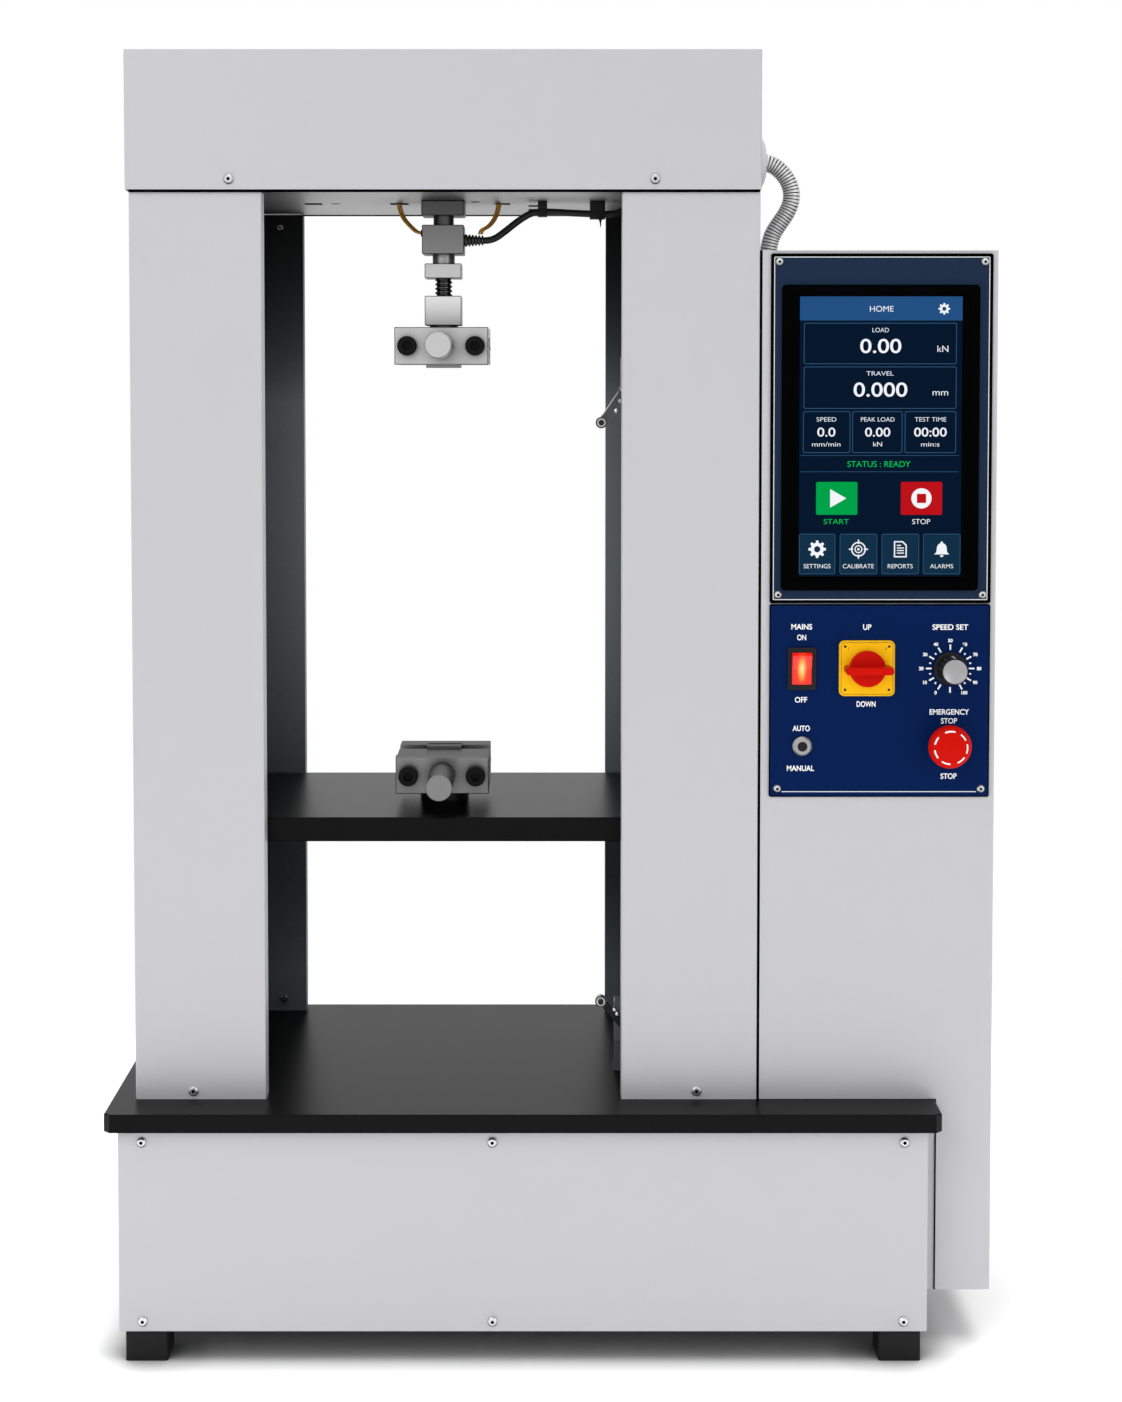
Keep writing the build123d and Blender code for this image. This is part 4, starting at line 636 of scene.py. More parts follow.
def start_material(name):
    """A material with only its Principled shader and output."""
    material = bpy.data.materials.new(name)
    material.use_nodes = True
    tree = material.node_tree
    tree.nodes.clear()
    shader = tree.nodes.new("ShaderNodeBsdfPrincipled")
    output = tree.nodes.new("ShaderNodeOutputMaterial")
    tree.links.new(shader.outputs["BSDF"], output.inputs["Surface"])
    return material, tree, shader


def set_inputs(node, **values):
    """Set a node's inputs by their names, with spaces written as underscores."""
    for key, value in values.items():
        node.inputs[key.replace("_", " ")].default_value = value


def group_node(tree, name, **values):
    """The outputs of one of the shader groups in a material, with its values set."""
    made = tree.nodes.new("ShaderNodeGroup")
    made.node_tree = GROUPS[name]
    set_inputs(made, **values)
    return made.outputs


def grained(name, group, **values):
    """A material with a grain group wired to its shader, and the grain's colour."""
    material, tree, shader = start_material(name)
    grain = group_node(tree, group, **values)
    for label, socket in (("Color", "Base Color"), ("Roughness", "Roughness"), ("Normal", "Normal")):
        tree.links.new(grain[label], shader.inputs[socket])
    return material, tree, shader, grain["Color"]


def shade_colour(tree, shader, colour, mask):
    """Darken a material's base colour by a mask, as painted shade."""
    tree.links.new(shade_node(tree, colour, mask), shader.inputs["Base Color"])


def contact_shade(tree, reach, power, lift=(0.0, 0.0, 0.0)):
    """The contact shade group's mask in a material."""
    return group_node(tree, "contact_shade", Reach=reach, Power=power, Lift=lift)["Mask"]


def coated(name, colour, roughness, peel_scale, peel_depth, mottle, shine=0.5, near=None):
    """Powder coat, paint or plastic, with painted contact shade close to other parts where near is given."""
    material, tree, shader, grain = grained(
        name, "coat_grain", Color=(*colour, 1), Peel_Scale=peel_scale, Peel_Depth=peel_depth, Mottle=mottle,
        Roughness=roughness)
    if near:
        shade_colour(tree, shader, grain, contact_shade(tree, *near))
    set_inputs(shader, Specular_IOR_Level=shine)
    return material


def metal(name, colour, roughness, stretch, scale, depth, contrast, metallic=1.0, under=0.6, near=None,
          edge=1.0):
    """Machined, rolled or plated metal, with painted shade underneath and, where near is given, painted contact
    shade close to other parts.
    """
    material, tree, shader, grain = grained(
        name, "brushed_grain", Color=(*colour, 1), Stretch=stretch, Scale=scale, Depth=depth,
        Contrast=contrast, Roughness=roughness, Under=under)
    if near:
        shade_colour(tree, shader, grain, contact_shade(tree, *near))
    set_inputs(shader, Metallic=metallic, Specular_Tint=(edge, edge, edge, 1))
    return material


def lit(name, colour):
    """A part of the lit screen, with a faint unevenness of its back light."""
    material, tree, shader = start_material(name)
    glow = range_node(tree, noise_node(tree, 14.0, 2.0), 0.94, 1.06)
    source = tree.nodes.new("ShaderNodeRGB")
    source.outputs[0].default_value = (*colour, 1)
    tree.links.new(shade_node(tree, source.outputs[0], glow), shader.inputs["Emission Color"])
    set_inputs(shader, Base_Color=(0.0, 0.0, 0.0, 1), Emission_Strength=1.0, Roughness=0.35,
               Specular_IOR_Level=0.0)
    return material


ROCKER_LAMP = (1 / 0.0042, 0.0, 1 / 0.0120)   # one over the lamp's reach across and up
ROCKER_STOPS = ((0.0, (1.0, 0.92, 0.42)), (1.0, (0.62, 0.010, 0.006)), (0.36, (1.0, 0.42, 0.05)),
                (0.62, (0.95, 0.05, 0.006)))


def rocker_glow(name, colours):
    """The red lens of the mains rocker, brightest where its lamp stands."""
    material, tree, shader = start_material(name)
    shift = vector_node(tree, "SUBTRACT", place_node(tree), tuple(centre("mains_rocker")))
    reach = vector_node(tree, "LENGTH", vector_node(tree, "MULTIPLY", shift, ROCKER_LAMP))
    ramp = tree.nodes.new("ShaderNodeValToRGB")
    elements = ramp.color_ramp.elements
    for index, (place, glow) in enumerate(ROCKER_STOPS):
        stop = elements[index] if index < 2 else elements.new(place)
        stop.position, stop.color = place, (*glow, 1)
    tree.links.new(range_node(tree, reach, 0.0, 1.0, 0.0, 1.7), ramp.inputs["Fac"])
    tree.links.new(ramp.outputs["Color"], shader.inputs["Emission Color"])
    set_inputs(shader, Emission_Strength=0.92, Base_Color=(*colours.red, 1), Roughness=0.22)
    return material


def lead_screw_steel(name, colours, sizes, screw):
    """Ground steel with the winding groove of a lead screw, with painted shade in the groove."""
    material, tree, shader, grain = grained(
        name, "brushed_grain", Color=(*colours.silver, 1), Stretch=(1.0, 1.0, 12.0), Scale=90.0, Depth=0.05,
        Contrast=0.1, Roughness=0.28)
    middle = centre(screw)
    mask = group_node(tree, "thread_mask", Axis_X=middle.x, Axis_Y=middle.y, Lead=sizes.screw_lead)
    # Painted shade: the base colour darkens in the groove
    shade_colour(tree, shader, grain, range_node(tree, mask["Groove"], 1.0, 0.35))
    tree.links.new(mask["Normal"], shader.inputs["Normal"])
    set_inputs(shader, Metallic=1.0)
    return material


# Setting, tone, roughness, peel scale, peel depth, mottle, and where they differ shine and painted contact shade
COATS = {
    "cover_coat": ("cover", 1.0, 0.42, 1100.0, 0.05, 0.030),
    "bed_coat": ("bed", 1.0, 0.30, 1500.0, 0.26, 0.20, 0.085),
    # Painted shade on the rear panels under the top plate and the crosshead, leaned upwards by its lift
    "slate_coat": ("rear_panel", 1.0, 0.5, 1100.0, 0.06, 0.08, 0.12, (0.20, 1.9, (0.0, 0.0, 1.6))),
    "navy_coat": ("navy", 1.0, 0.45, 1400.0, 0.05, 0.08, 0.06),
    "blue_coat": ("blue", 1.0, 0.45, 1600.0, 0.06, 0.08, 0.03),
    "black_oxide": ("black_steel", 0.35, 0.36, 900.0, 0.06, 0.2, 0.08),
    "foot_rubber": ("rubber", 1.0, 0.62, 1300.0, 0.30, 0.30, 0.15),
    "cable_rubber": ("rubber", 1.0, 0.36, 1700.0, 0.06, 0.20, 0.25),
    "black_plastic": ("plastic", 1.0, 0.38, 1500.0, 0.12, 0.16, 0.12),
    "switch_case": ("plastic", 7.5, 0.40, 1500.0, 0.1, 0.2, 0.3),
    "screen_bezel": ("plastic", 0.1, 0.16, 1200.0, 0.01, 0.05, 0.0),
    "red_plastic": ("red", 1.0, 0.30, 900.0, 0.03, 0.06, 0.04),
    "yellow_plastic": ("yellow", 1.0, 0.34, 1100.0, 0.06, 0.05, 0.08),
    "wire_sheath": ("wire", 1.0, 0.36, 1500.0, 0.05, 0.14),
    # A near-black copy of the conduit's colour: painted shade in its grooves
    "conduit_groove": ("conduit", 0.05, 0.5, 900.0, 0.06, 0.1, 0.2),
    "gland_plastic": ("conduit", 0.92, 0.40, 900.0, 0.06, 0.05),
    "line_silver": ("ink", 0.80, 0.4, 1500.0, 0.04, 0.2),
    # Near-black plastic for painted shade in gaps, slots and sockets
    "gap_black": ("plastic", 0.1, 0.8, 900.0, 0.02, 0.1, 0.0),
    "relief_plastic": ("plastic", 1.6, 0.30, 900.0, 0.05, 0.10),
    "panel_ink": ("ink", 1.0, 0.55, 2200.0, 0.05, 0.10),
    "faint_ink": ("yellow", 0.16, 0.55, 2200.0, 0.05, 0.10),
    "white_ink": ("mark", 1.0, 0.5, 2200.0, 0.05, 0.06),
}

EVEN = (1.0, 1.0, 1.0)
# Setting, tone, roughness, stretch, scale, depth, contrast, and where they differ metallic, painted shade
# underneath, painted contact shade and the tint at grazing angles
METALS = {
    "block_steel": ("steel", 1.45, 0.36, (1.0, 1.0, 14.0), 160.0, 0.06, 0.14, 1.0, 0.55, (0.030, 1.3)),
    "grip_steel": ("steel", 1.06, 0.38, (1.0, 1.0, 10.0), 240.0, 0.08, 0.20, 1.0, 0.35, (0.014, 0.8)),
    "lower_grip_steel": ("steel", 0.50, 0.36, (1.0, 1.0, 10.0), 240.0, 0.08, 0.30, 1.0, 0.3, (0.012, 1.1),
                         0.42),
    "cell_steel": ("steel", 0.46, 0.45, (1.0, 1.0, 16.0), 170.0, 0.05, 0.14, 1.0, 0.55),
    # The load hanger's steel is a darker copy: painted shade under the top plate
    "hanger_steel": ("steel", 0.26, 0.45, (1.0, 1.0, 16.0), 170.0, 0.05, 0.2, 1.0, 0.5),
    "rolled_steel": ("plate_steel", 1.0, 0.42, (1.0, 18.0, 1.0), 60.0, 0.05, 0.24, 1.0, 0.95, (0.075, 1.9)),
    "black_steel": ("black_steel", 1.0, 0.42, EVEN, 700.0, 0.10, 0.3, 0.6),
    "lever_steel": ("black_steel", 7.0, 0.34, EVEN, 500.0, 0.08, 0.3, 0.7),
    "plated_steel": ("silver", 1.0, 0.24, EVEN, 500.0, 0.03, 0.10, 1.0, 0.04),
    "ground_steel": ("silver", 1.0, 0.20, (1.0, 1.0, 40.0), 60.0, 0.02, 0.08),
    "bronze": ("bronze", 1.0, 0.38, (1.0, 1.0, 8.0), 200.0, 0.06, 0.2),
    "cast_alloy": ("steel", 1.0, 0.55, EVEN, 900.0, 0.25, 0.12),
    "conduit_sheath": ("conduit", 1.0, 0.36, EVEN, 400.0, 0.08, 0.2, 0.35),
    "thread_steel": ("black_steel", 7.0, 0.20, EVEN, 600.0, 0.04, 0.2),
    "turned_cap": ("silver", 0.62, 0.32, EVEN, 700.0, 0.05, 0.16),
}

SCREEN_COLOURS = ("back", "bar", "line", "tile", "bright", "dim", "go", "go_text", "halt")


def make_materials(colours, screen, sizes):
    """Every finish of the machine, by its name."""
    made = {}
    for build, table in ((coated, COATS), (metal, METALS)):
        for name, (setting, tone, *values) in table.items():
            made[name] = build(name, tuple(tone * part for part in getattr(colours, setting)), *values)
    for setting in SCREEN_COLOURS:
        made[f"screen_{setting}"] = lit(f"screen_{setting}", getattr(screen, setting))
    for side in ("left", "right"):
        name = f"{side}_screw_steel"
        made[name] = lead_screw_steel(name, colours, sizes, f"{side}_lead_screw")
    made["rocker_lens"] = rocker_glow("rocker_lens", colours)
    return made


GROUPS = {}
MATERIALS = {}

NODE_FINISHES = {
    "cover_coat": ["base_shell", "base_front_cover", "left_column_cover", "right_column_cover", "head_cover",
                   "cabinet_shell", "cabinet_front"],
    "bed_coat": ["base_plate", "crosshead_plate"],
    "slate_coat": ["rear_panels"],
    "navy_coat": ["display_panel"],
    "blue_coat": ["control_panel"],
    "rolled_steel": ["top_plate"],
    "block_steel": ["grip_adapter"],
    "cell_steel": ["load_cell"],
    "grip_steel": ["coupling_nut", "upper_grip_body", "upper_jaw", "upper_clamp_screw"],
    "hanger_steel": ["load_hanger"],
    "lower_grip_steel": ["lower_grip_body", "lower_jaw", "lower_clamp_screw"],
    "black_oxide": ["upper_tie_bolts", "lower_tie_bolts"],
    "black_steel": ["lower_limit_lever", "lower_grip_base", "screw_bearings", "drive_motor",
                    "threaded_rod"],
    "lever_steel": ["upper_limit_lever"],
    "plated_steel": ["cover_screws"],
    "turned_cap": ["mode_switch_bush", "upper_limit_roller", "lower_limit_roller"],
    "ground_steel": ["guide_rods"],
    "left_screw_steel": ["left_lead_screw"],
    "right_screw_steel": ["right_lead_screw"],
    "bronze": ["screw_nuts"],
    "cast_alloy": ["guide_bushes", "servo_drive", "motor_pulley"],
    "foot_rubber": ["feet"],
    "cable_rubber": ["timing_belts", "load_cell_cable", "conduit", "load_cell_wires"],
    "black_plastic": ["mains_switch_body", "switch_bodies", "power_inlet", "speed_knob", "estop_stem",
                      "mode_button", "cable_fittings"],
    "switch_case": ["limit_switches"],
    "screen_bezel": ["touch_screen"],
    "red_plastic": ["cam_switch_handle", "estop_head"],
    "yellow_plastic": ["cam_switch_body"],
    "rocker_lens": ["mains_rocker"],
}


# Routes of the cords


def conduit_route():
    """The conduit's route from the head's gland down to the bush on the cabinet."""
    side = corners("head_cover")[1].x
    depth = corners("left_column_cover")[0].y + 118 * MM
    top = corners("top_plate")[0].z + 37 * MM
    low, high = corners("cabinet_shell")
    route = [Vector((side + out * MM, depth, top - down * MM)) for out, down in CONDUIT_POINTS]
    return route + [Vector((low.x + 17.3 * MM, depth, high.z + BUSH_HEIGHT))]


def cable_route():
    """The load cell cable's route: out of the gland, up to its clips and into the top plate."""
    plate_low, plate_high = corners("top_plate")
    cell = centre("load_cell")
    start = corners("load_cell")[1].x + RELIEF_REACH
    run = plate_low.z - 9.75 * MM
    route = [Vector((start + out * MM, cell.y, level + up * MM))
             for level, points in ((cell.z, CABLE_RISE), (run, CABLE_RUN)) for out, up in points]
    return route + [Vector((start + 141.5 * MM, cell.y, plate_high.z))]


def wire_route(side):
    """A thin wire's route from its slot in the top plate to the load cell, left (-1) or right (1)."""
    cell_low, cell_high = corners("load_cell")
    low, high = (corner.z for corner in corners("top_plate"))
    middle = centre("load_cell")
    if side < 0:
        x, end, level = middle.x - 46.5 * MM, cell_low.x, cell_high.z - 6.6 * MM
        rows = ((x, 1, high), (x + 0.6 * MM, 1, low), (x + 5.0 * MM, 0.8, low - 14.0 * MM),
                (x + 14.0 * MM, 0.45, low - 24.0 * MM), (end - 5.0 * MM, 0.3, level), (end, 0.3, level))
    else:
        x, end, level = middle.x + 55 * MM, cell_high.x + 0.8 * RELIEF_REACH, middle.z + 6 * MM
        rows = ((x, 1, high), (x - 0.6 * MM, 1, low), (x - 4.0 * MM, 0.7, low - 14.0 * MM),
                (x - 11.0 * MM, 0.3, low - 24.0 * MM), (end, 0, level + 4.0 * MM), (end, 0, level))
    return [Vector((across, middle.y + back * WIRE_BACK, up)) for across, back, up in rows]


# Operators


class TESTER_OT_finishes(bpy.types.Operator):
    """Build the finishes and give each solid of the frame its own"""

    bl_idname = "tester.finishes"
    bl_label = "Finish the solids"

    def execute(self, context):
        scene = context.scene
        for build in (coat_grain_group, brushed_grain_group, thread_mask_group, contact_shade_group):
            group = build()
            GROUPS[group.name] = group
        MATERIALS.update(make_materials(scene.tester_colours, scene.tester_screen, scene.tester_sizes))
        for finish, names in NODE_FINISHES.items():
            for name in names:
                mesh = frame["nodes"][name].data
                mesh.materials.clear()
                mesh.materials.append(MATERIALS[finish])
        return {"FINISHED"}


class TESTER_OT_conduit(bpy.types.Operator):
    """Build the ribbed conduit between the head and the cabinet"""

    bl_idname = "tester.conduit"
    bl_label = "Conduit"

    def execute(self, context):
        sizes = context.scene.tester_sizes
        route = conduit_route()
        line = route_line(route)
        outer = sizes.conduit / 2
        rib = bmesh.new()
        rings = []
        turns = [TURN * step / RIB_SIDES for step in range(RIB_SIDES)]
        for index, (point, along) in enumerate(stations(line, sizes.rib_pitch / RIB_RINGS)):
            radius = outer - sizes.rib_depth if index % RIB_RINGS == RIB_RINGS - 1 else outer
            side = along.cross(Vector(FRONT)).normalized()
            rings.append([rib.verts.new(point + radius * (side * math.cos(turn) + Vector((0, math.sin(turn), 0))))
                          for turn in turns])
        quads(rib, rings, True)
        rib.faces.new(rings[0])
        rib.faces.new(rings[-1])
        conduit = piece_from("ribbed_conduit", rib, "conduit_sheath")
        # Painted shade: the faces in the grooves between ribs take the near-black copy
        conduit.data.materials.append(MATERIALS["conduit_groove"])
        for index, face in enumerate(conduit.data.polygons[:RIB_SIDES * (len(rings) - 1)]):
            face.material_index = 1 if (index // RIB_SIDES) % RIB_RINGS >= RIB_RINGS - 2 else 0
        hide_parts("conduit")
        return {"FINISHED"}


class TESTER_OT_cables(bpy.types.Operator):
    """Build the load cell's cable and its two pairs of thin wires"""

    bl_idname = "tester.cables"
    bl_label = "Cables"

    def execute(self, context):
        sizes = context.scene.tester_sizes
        route = cable_route()
        cable = self.tube("cell_cable", route, sizes.cable, "cable_rubber", "cable_sheath")
        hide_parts("load_cell_cable")
        line_length(route_line(route))
        for side, label in ((-1, "left"), (1, "right")):
            for strand, offset in (("outer", 0.52), ("inner", -0.52)):
                shift = Vector((offset * sizes.strand, 0.3 * offset * sizes.strand, 0.0))
                points = [point + shift for point in wire_route(side)]
                wire = self.tube(f"{label}_{strand}_wire", points, sizes.strand, "wire_sheath",
                                 "orange_sheath")
                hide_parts("load_cell_wires")
        return {"FINISHED"}

    def tube(self, name, points, diameter, finish, slot):
        """A round cable along a route."""
        curve = route_curve(name, points)
        curve.bevel_depth = diameter / 2
        curve.bevel_resolution = 6
        curve.use_fill_caps = True
        curve.materials.append(MATERIALS[finish])
        piece = bpy.data.objects.new(name, curve)
        bpy.context.scene.collection.objects.link(piece)
        return ride_frame(piece, "frame")


class TESTER_OT_fittings(bpy.types.Operator):
    """Build the conduit's gland and bush, the load cell's strain relief and boss, and the cable clips"""

    bl_idname = "tester.fittings"
    bl_label = "Cable fittings"

    def execute(self, context):
        made = [self.head_gland(), self.cabinet_bush(), self.strain_relief(),
                self.clip(NEAR_CLIP, "near_clip", True), self.clip(FAR_CLIP, "far_clip", False)]
        for piece in made:
            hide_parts("cable_fittings")
        turned("cell_boss", ((0.0, 0.0), (0.0, 3.4), (1.9, 3.4), (2.4, 2.9), (2.4, 0.0)), wire_route(-1)[-1],
               (-1, 0, 0), 24, "black_plastic")
        return {"FINISHED"}

    def head_gland(self):
        """A domed cap on the head's side, with the conduit in its crown."""
        profile = ((0.0, 8.6), (0.0, 24.6), (0.6, 25.0), (7.5, 25.0), (9.5, 24.6), (11.5, 23.4), (13.4, 20.4),
                   (14.8, 16.4), (15.7, 12.0), (16.0, 8.6), (0.0, 8.6))
        return turned("head_gland", profile, conduit_route()[0] - Vector((GLAND_REACH, 0, 0)), (1, 0, 0),
                      ROUND_STEPS, "gland_plastic")

    def cabinet_bush(self):
        """A low stepped bush where the conduit enters the cabinet."""
        profile = ((0.0, 12.8), (1.6, 13.0), (2.2, 12.4), (2.2, 10.6), (4.4, 10.2), (5.0, 9.6), (5.0, 8.2),
                   (0.0, 8.2), (0.0, 12.8))
        return turned("cabinet_bush", profile, conduit_route()[-1] - Vector((0, 0, BUSH_HEIGHT)), (0, 0, 1),
                      ROUND_STEPS, "gland_plastic")

    def strain_relief(self):
        """The load cell's gland: a nut, then a ribbed tail that narrows to the cable."""
        middle = centre("load_cell")
        profile = [(0.0, 0.0), (0.0, 5.6), (0.5, 6.1), (2.6, 6.1), (3.1, 4.4)]
        for rib in range(5):
            along = 3.3 + 3.2 * rib
            crest = 6.0 - 0.28 * rib
            profile += [(along + 0.3, crest - 1.7), (along + 0.7, crest - 0.3), (along + 1.2, crest),
                        (along + 1.9, crest), (along + 2.4, crest - 0.3), (along + 2.8, crest - 1.7)]
        profile += [(19.6, 3.6), (19.7, 0.0)]
        return turned("strain_relief", profile, (corners("load_cell")[1].x, middle.y, middle.z), (1, 0, 0), 36,
                      "relief_plastic")

    def clip(self, place, name, prongs):
        """A moulded cable clip under the top plate, round the cable."""
        point = cable_route()[place]
        block = bmesh.new()

        def part(x, y, z, bevel):
            """A soft box with spans (low, high) from the cable's middle."""
            spans = [(point[axis] + low, point[axis] + high) for axis, (low, high) in enumerate((x, y, z))]
            soft_box(block, [span[0] for span in spans], [span[1] for span in spans], bevel)

        half, deep = (4.6 * MM, 5.2 * MM) if prongs else (7.5 * MM, 5.6 * MM)
        wall, floor, roof = 3.5 * MM, -5.0 * MM, corners("top_plate")[0].z - point.z
        part((-half, half), (-deep, deep), (wall, roof), 0.7 * MM)
        for span in ((-deep, -wall), (wall, deep)):
            part((-half, half), span, (floor, 4.0 * MM), 0.6 * MM)
        part((-half, half), (-deep, deep), (floor, -wall), 0.6 * MM)
        if prongs:
            for drop in (3.2, 6.9):
                part((-13.8 * MM, 1.0 * MM - half), (-2.4 * MM, 2.4 * MM),
                     (roof - (drop + 1.5) * MM, roof - drop * MM), 0.4 * MM)
        else:
            part((1.0 * MM, 4.4 * MM), (-deep - 1.4 * MM, 2.6 * MM - deep), (-6.6 * MM, -3.6 * MM), 0.5 * MM)
            tail = [(point.x + across * MM, point.z - down * MM)
                    for across, down in ((1.6, 6.0), (3.8, 6.0), (3.5, 12.6), (2.9, 13.4))]
            prism(block, tail, point.y - deep + 0.6 * MM, point.y - deep - 0.6 * MM)
        return piece_from(name, block, "black_plastic")


class TESTER_OT_threads(bpy.types.Operator):
    """Cut the thread of the rod between the nut block and the grip's adapter"""

    bl_idname = "tester.threads"
    bl_label = "Threaded rod"

    def execute(self, context):
        sizes = context.scene.tester_sizes
        low, high = corners("threaded_rod")
        middle = (low + high) / 2
        crest, tall = (high.x - low.x) / 2, high.z - low.z
        root = crest - sizes.thread_depth
        shape = ((0.0, root), (0.28, root), (0.48, crest), (0.72, crest), (1.0, root))
        thread = bmesh.new()
        rows = []
        for step in range(round(tall / sizes.thread_pitch * THREAD_SIDES) + 1):
            turn = TURN * step / THREAD_SIDES
            base = low.z + sizes.thread_pitch * (step / THREAD_SIDES - 1)
            rows.append([thread.verts.new((middle.x + radius * math.cos(turn),
                                           middle.y + radius * math.sin(turn),
                                           min(max(base + share * sizes.thread_pitch, low.z), high.z)))
                         for share, radius in shape])
        quads(thread, rows, False)
        core, length = root / MM, tall / MM
        lathe(thread, ((0.0, 0.0), (0.0, core), (length, core), (length, 0.0)), (middle.x, middle.y, low.z),
              (0, 0, 1), THREAD_SIDES)
        bmesh.ops.dissolve_degenerate(thread, dist=1e-6, edges=thread.edges)
        rod = piece_from("threaded_link", thread, "thread_steel")
        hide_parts("threaded_rod")
        return {"FINISHED"}


class TESTER_OT_screen(bpy.types.Operator):
    """Draw what the touch screen shows: readings, status, two buttons and a row of tiles"""

    bl_idname = "tester.screen"
    bl_label = "Screen"

    def execute(self, context):
        screen = context.scene.tester_screen
        middle = centre("touch_screen")
        self.left = middle.x + screen.shift_x - screen.width / 2
        self.top = middle.z + screen.shift_z + screen.height / 2
        self.glass = corners("touch_screen")[0].y + 0.8 * MM
        self.across = screen.width / SCREEN_SPAN
        self.height = screen.height / MM
        self.back_plate()
        self.readings()
        self.status()
        self.buttons()
        self.tiles()
        return {"FINISHED"}

    def at(self, across, down):
        """A point in millimetres from the lit area's left and top edges."""
        return self.left + across * self.across, self.top - down * MM

    def outline(self, across0, across1, down0, down1, radius):
        """A rounded rectangle in millimetres from the lit area's left and top edges."""
        (x0, z1), (x1, z0) = self.at(across0, down0), self.at(across1, down1)
        return rounded(x0, x1, z0, z1, radius * MM)

    def layer(self, number):
        """The back and front depth of a layer of the picture."""
        return self.glass - number * SCREEN_LAYER, self.glass - (number + 1) * SCREEN_LAYER

    def show(self, name, made, setting):
        """One piece of the picture, in one of the screen's colours."""
        piece_from(f"screen_{name}", made, f"screen_{setting}", smooth=False)

    def flat(self, name, shapes, setting, layer):
        """One piece of the picture, from filled outlines."""
        made = bmesh.new()
        for shape in shapes:
            prism(made, shape, *self.layer(layer))
        self.show(name, made, setting)

    def frames(self, boxes, width, radii, layer):
        """A mesh of hollow boxes, with the width of their lines and their outer and inner radius."""
        made = bmesh.new()
        for across0, across1, down0, down1 in boxes:
            band(made, self.outline(across0, across1, down0, down1, radii[0]),
                 self.outline(across0 + width, across1 - width, down0 + width, down1 - width, radii[1]),
                 *self.layer(layer))
        return made

    def text(self, name, rows, setting):
        """One piece of the picture, from rows of words: text, across, down, capital height, width."""
        made = bmesh.new()
        back, front = self.layer(2)
        for words, across, down, height, width in rows:
            words_mesh(made, words, *self.at(across, down), height * MM, front, back - front,
                       width * self.across, SCREEN_BOLD if height > TALL_LETTER else SCREEN_FINE)
        self.show(name, made, setting)

    def back_plate(self):
        """The dark ground and the title bar."""
        self.flat("ground", [self.outline(0, SCREEN_SPAN, 0, self.height, 0.6)], "back", 0)
        self.flat("title_bar", [self.outline(0, SCREEN_SPAN, 0, 22.2, 0.6)], "bar", 1)
        self.text("title", [("HOME", 77.6, 11.4, 5.2, 22.5)], "bright")
        self.gear("title_gear", *self.at(137.0, 11.4), 5.4 * MM)

    def readings(self):
        """The boxed readings of load, travel, speed, peak load and time."""
        boxes = ((3.8, 149.2, 24.4, 62.6), (3.8, 149.2, 64.8, 104.0), (3.4, 48.5, 106.2, 145.0),
                 (50.3, 98.1, 106.2, 145.0), (100.3, 149.2, 106.2, 145.0))
        lines = self.frames(boxes, 0.7, (1.8, 1.2), 1)
        for down in (147.0, 162.2):
            prism(lines, self.outline(1.0, 152.0, down, down + 0.5, 0.1), *self.layer(1))
        self.show("boxes", lines, "line")
        self.text("figures", (
            ("0.00", 76.9, 45.8, 12.6, 39.0), ("0.000", 76.9, 86.2, 12.6, 51.0), ("0.0", 25.6, 125.6, 8.0, 17.2),
            ("0.00", 74.5, 125.6, 8.0, 24.0), ("00:00", 124.7, 125.6, 8.0, 31.0), ("kN", 136.0, 48.4, 5.8, 10.4),
            ("mm", 133.9, 88.6, 5.8, 14.8), ("mm/min", 25.6, 136.8, 4.2, 27.0), ("kN", 74.5, 136.8, 4.2, 8.4),
            ("min:s", 124.7, 136.8, 4.2, 17.5)), "bright")
        self.text("labels", (
            ("LOAD", 76.7, 31.0, 4.0, 15.6), ("TRAVEL", 76.4, 71.2, 4.0, 26.0), ("SPEED", 25.7, 113.8, 4.0, 18.8),
            ("PEAK LOAD", 74.5, 113.8, 4.0, 32.0), ("TEST TIME", 124.7, 113.8, 4.0, 30.0)), "dim")

    def status(self):
        """The status line and the buttons' words."""
        self.text("status", (("STATUS : READY", 75.9, 155.3, 5.4, 60.0), ("START", 35.6, 208.8, 4.6, 24.0)),
                  "go_text")
        self.text("stop_word", [("STOP", 116.6, 208.8, 4.6, 17.0)], "bright")

    def buttons(self):
        """The green start and the red stop button with their signs."""
        self.flat("start", [self.outline(16.2, 55.6, 171.9, 202.5, 1.6)], "go", 1)
        self.flat("stop", [self.outline(97.0, 136.4, 171.9, 202.5, 1.6)], "halt", 1)
        x, z = self.at(37.0, 187.2)
        play = [(x - 7.2 * MM, z - 8.6 * MM), (x + 7.8 * MM, z), (x - 7.2 * MM, z + 8.6 * MM)]
        self.flat("start_sign", [play], "bright", 2)
        x, z = self.at(116.7, 187.2)
        self.flat("stop_disc", [circle(x, z, 9.4 * MM, 40)], "bright", 2)
        half = 4.3 * MM
        self.flat("stop_square", [rounded(x - half, x + half, z - half, z + half, 0.5 * MM)], "halt", 3)

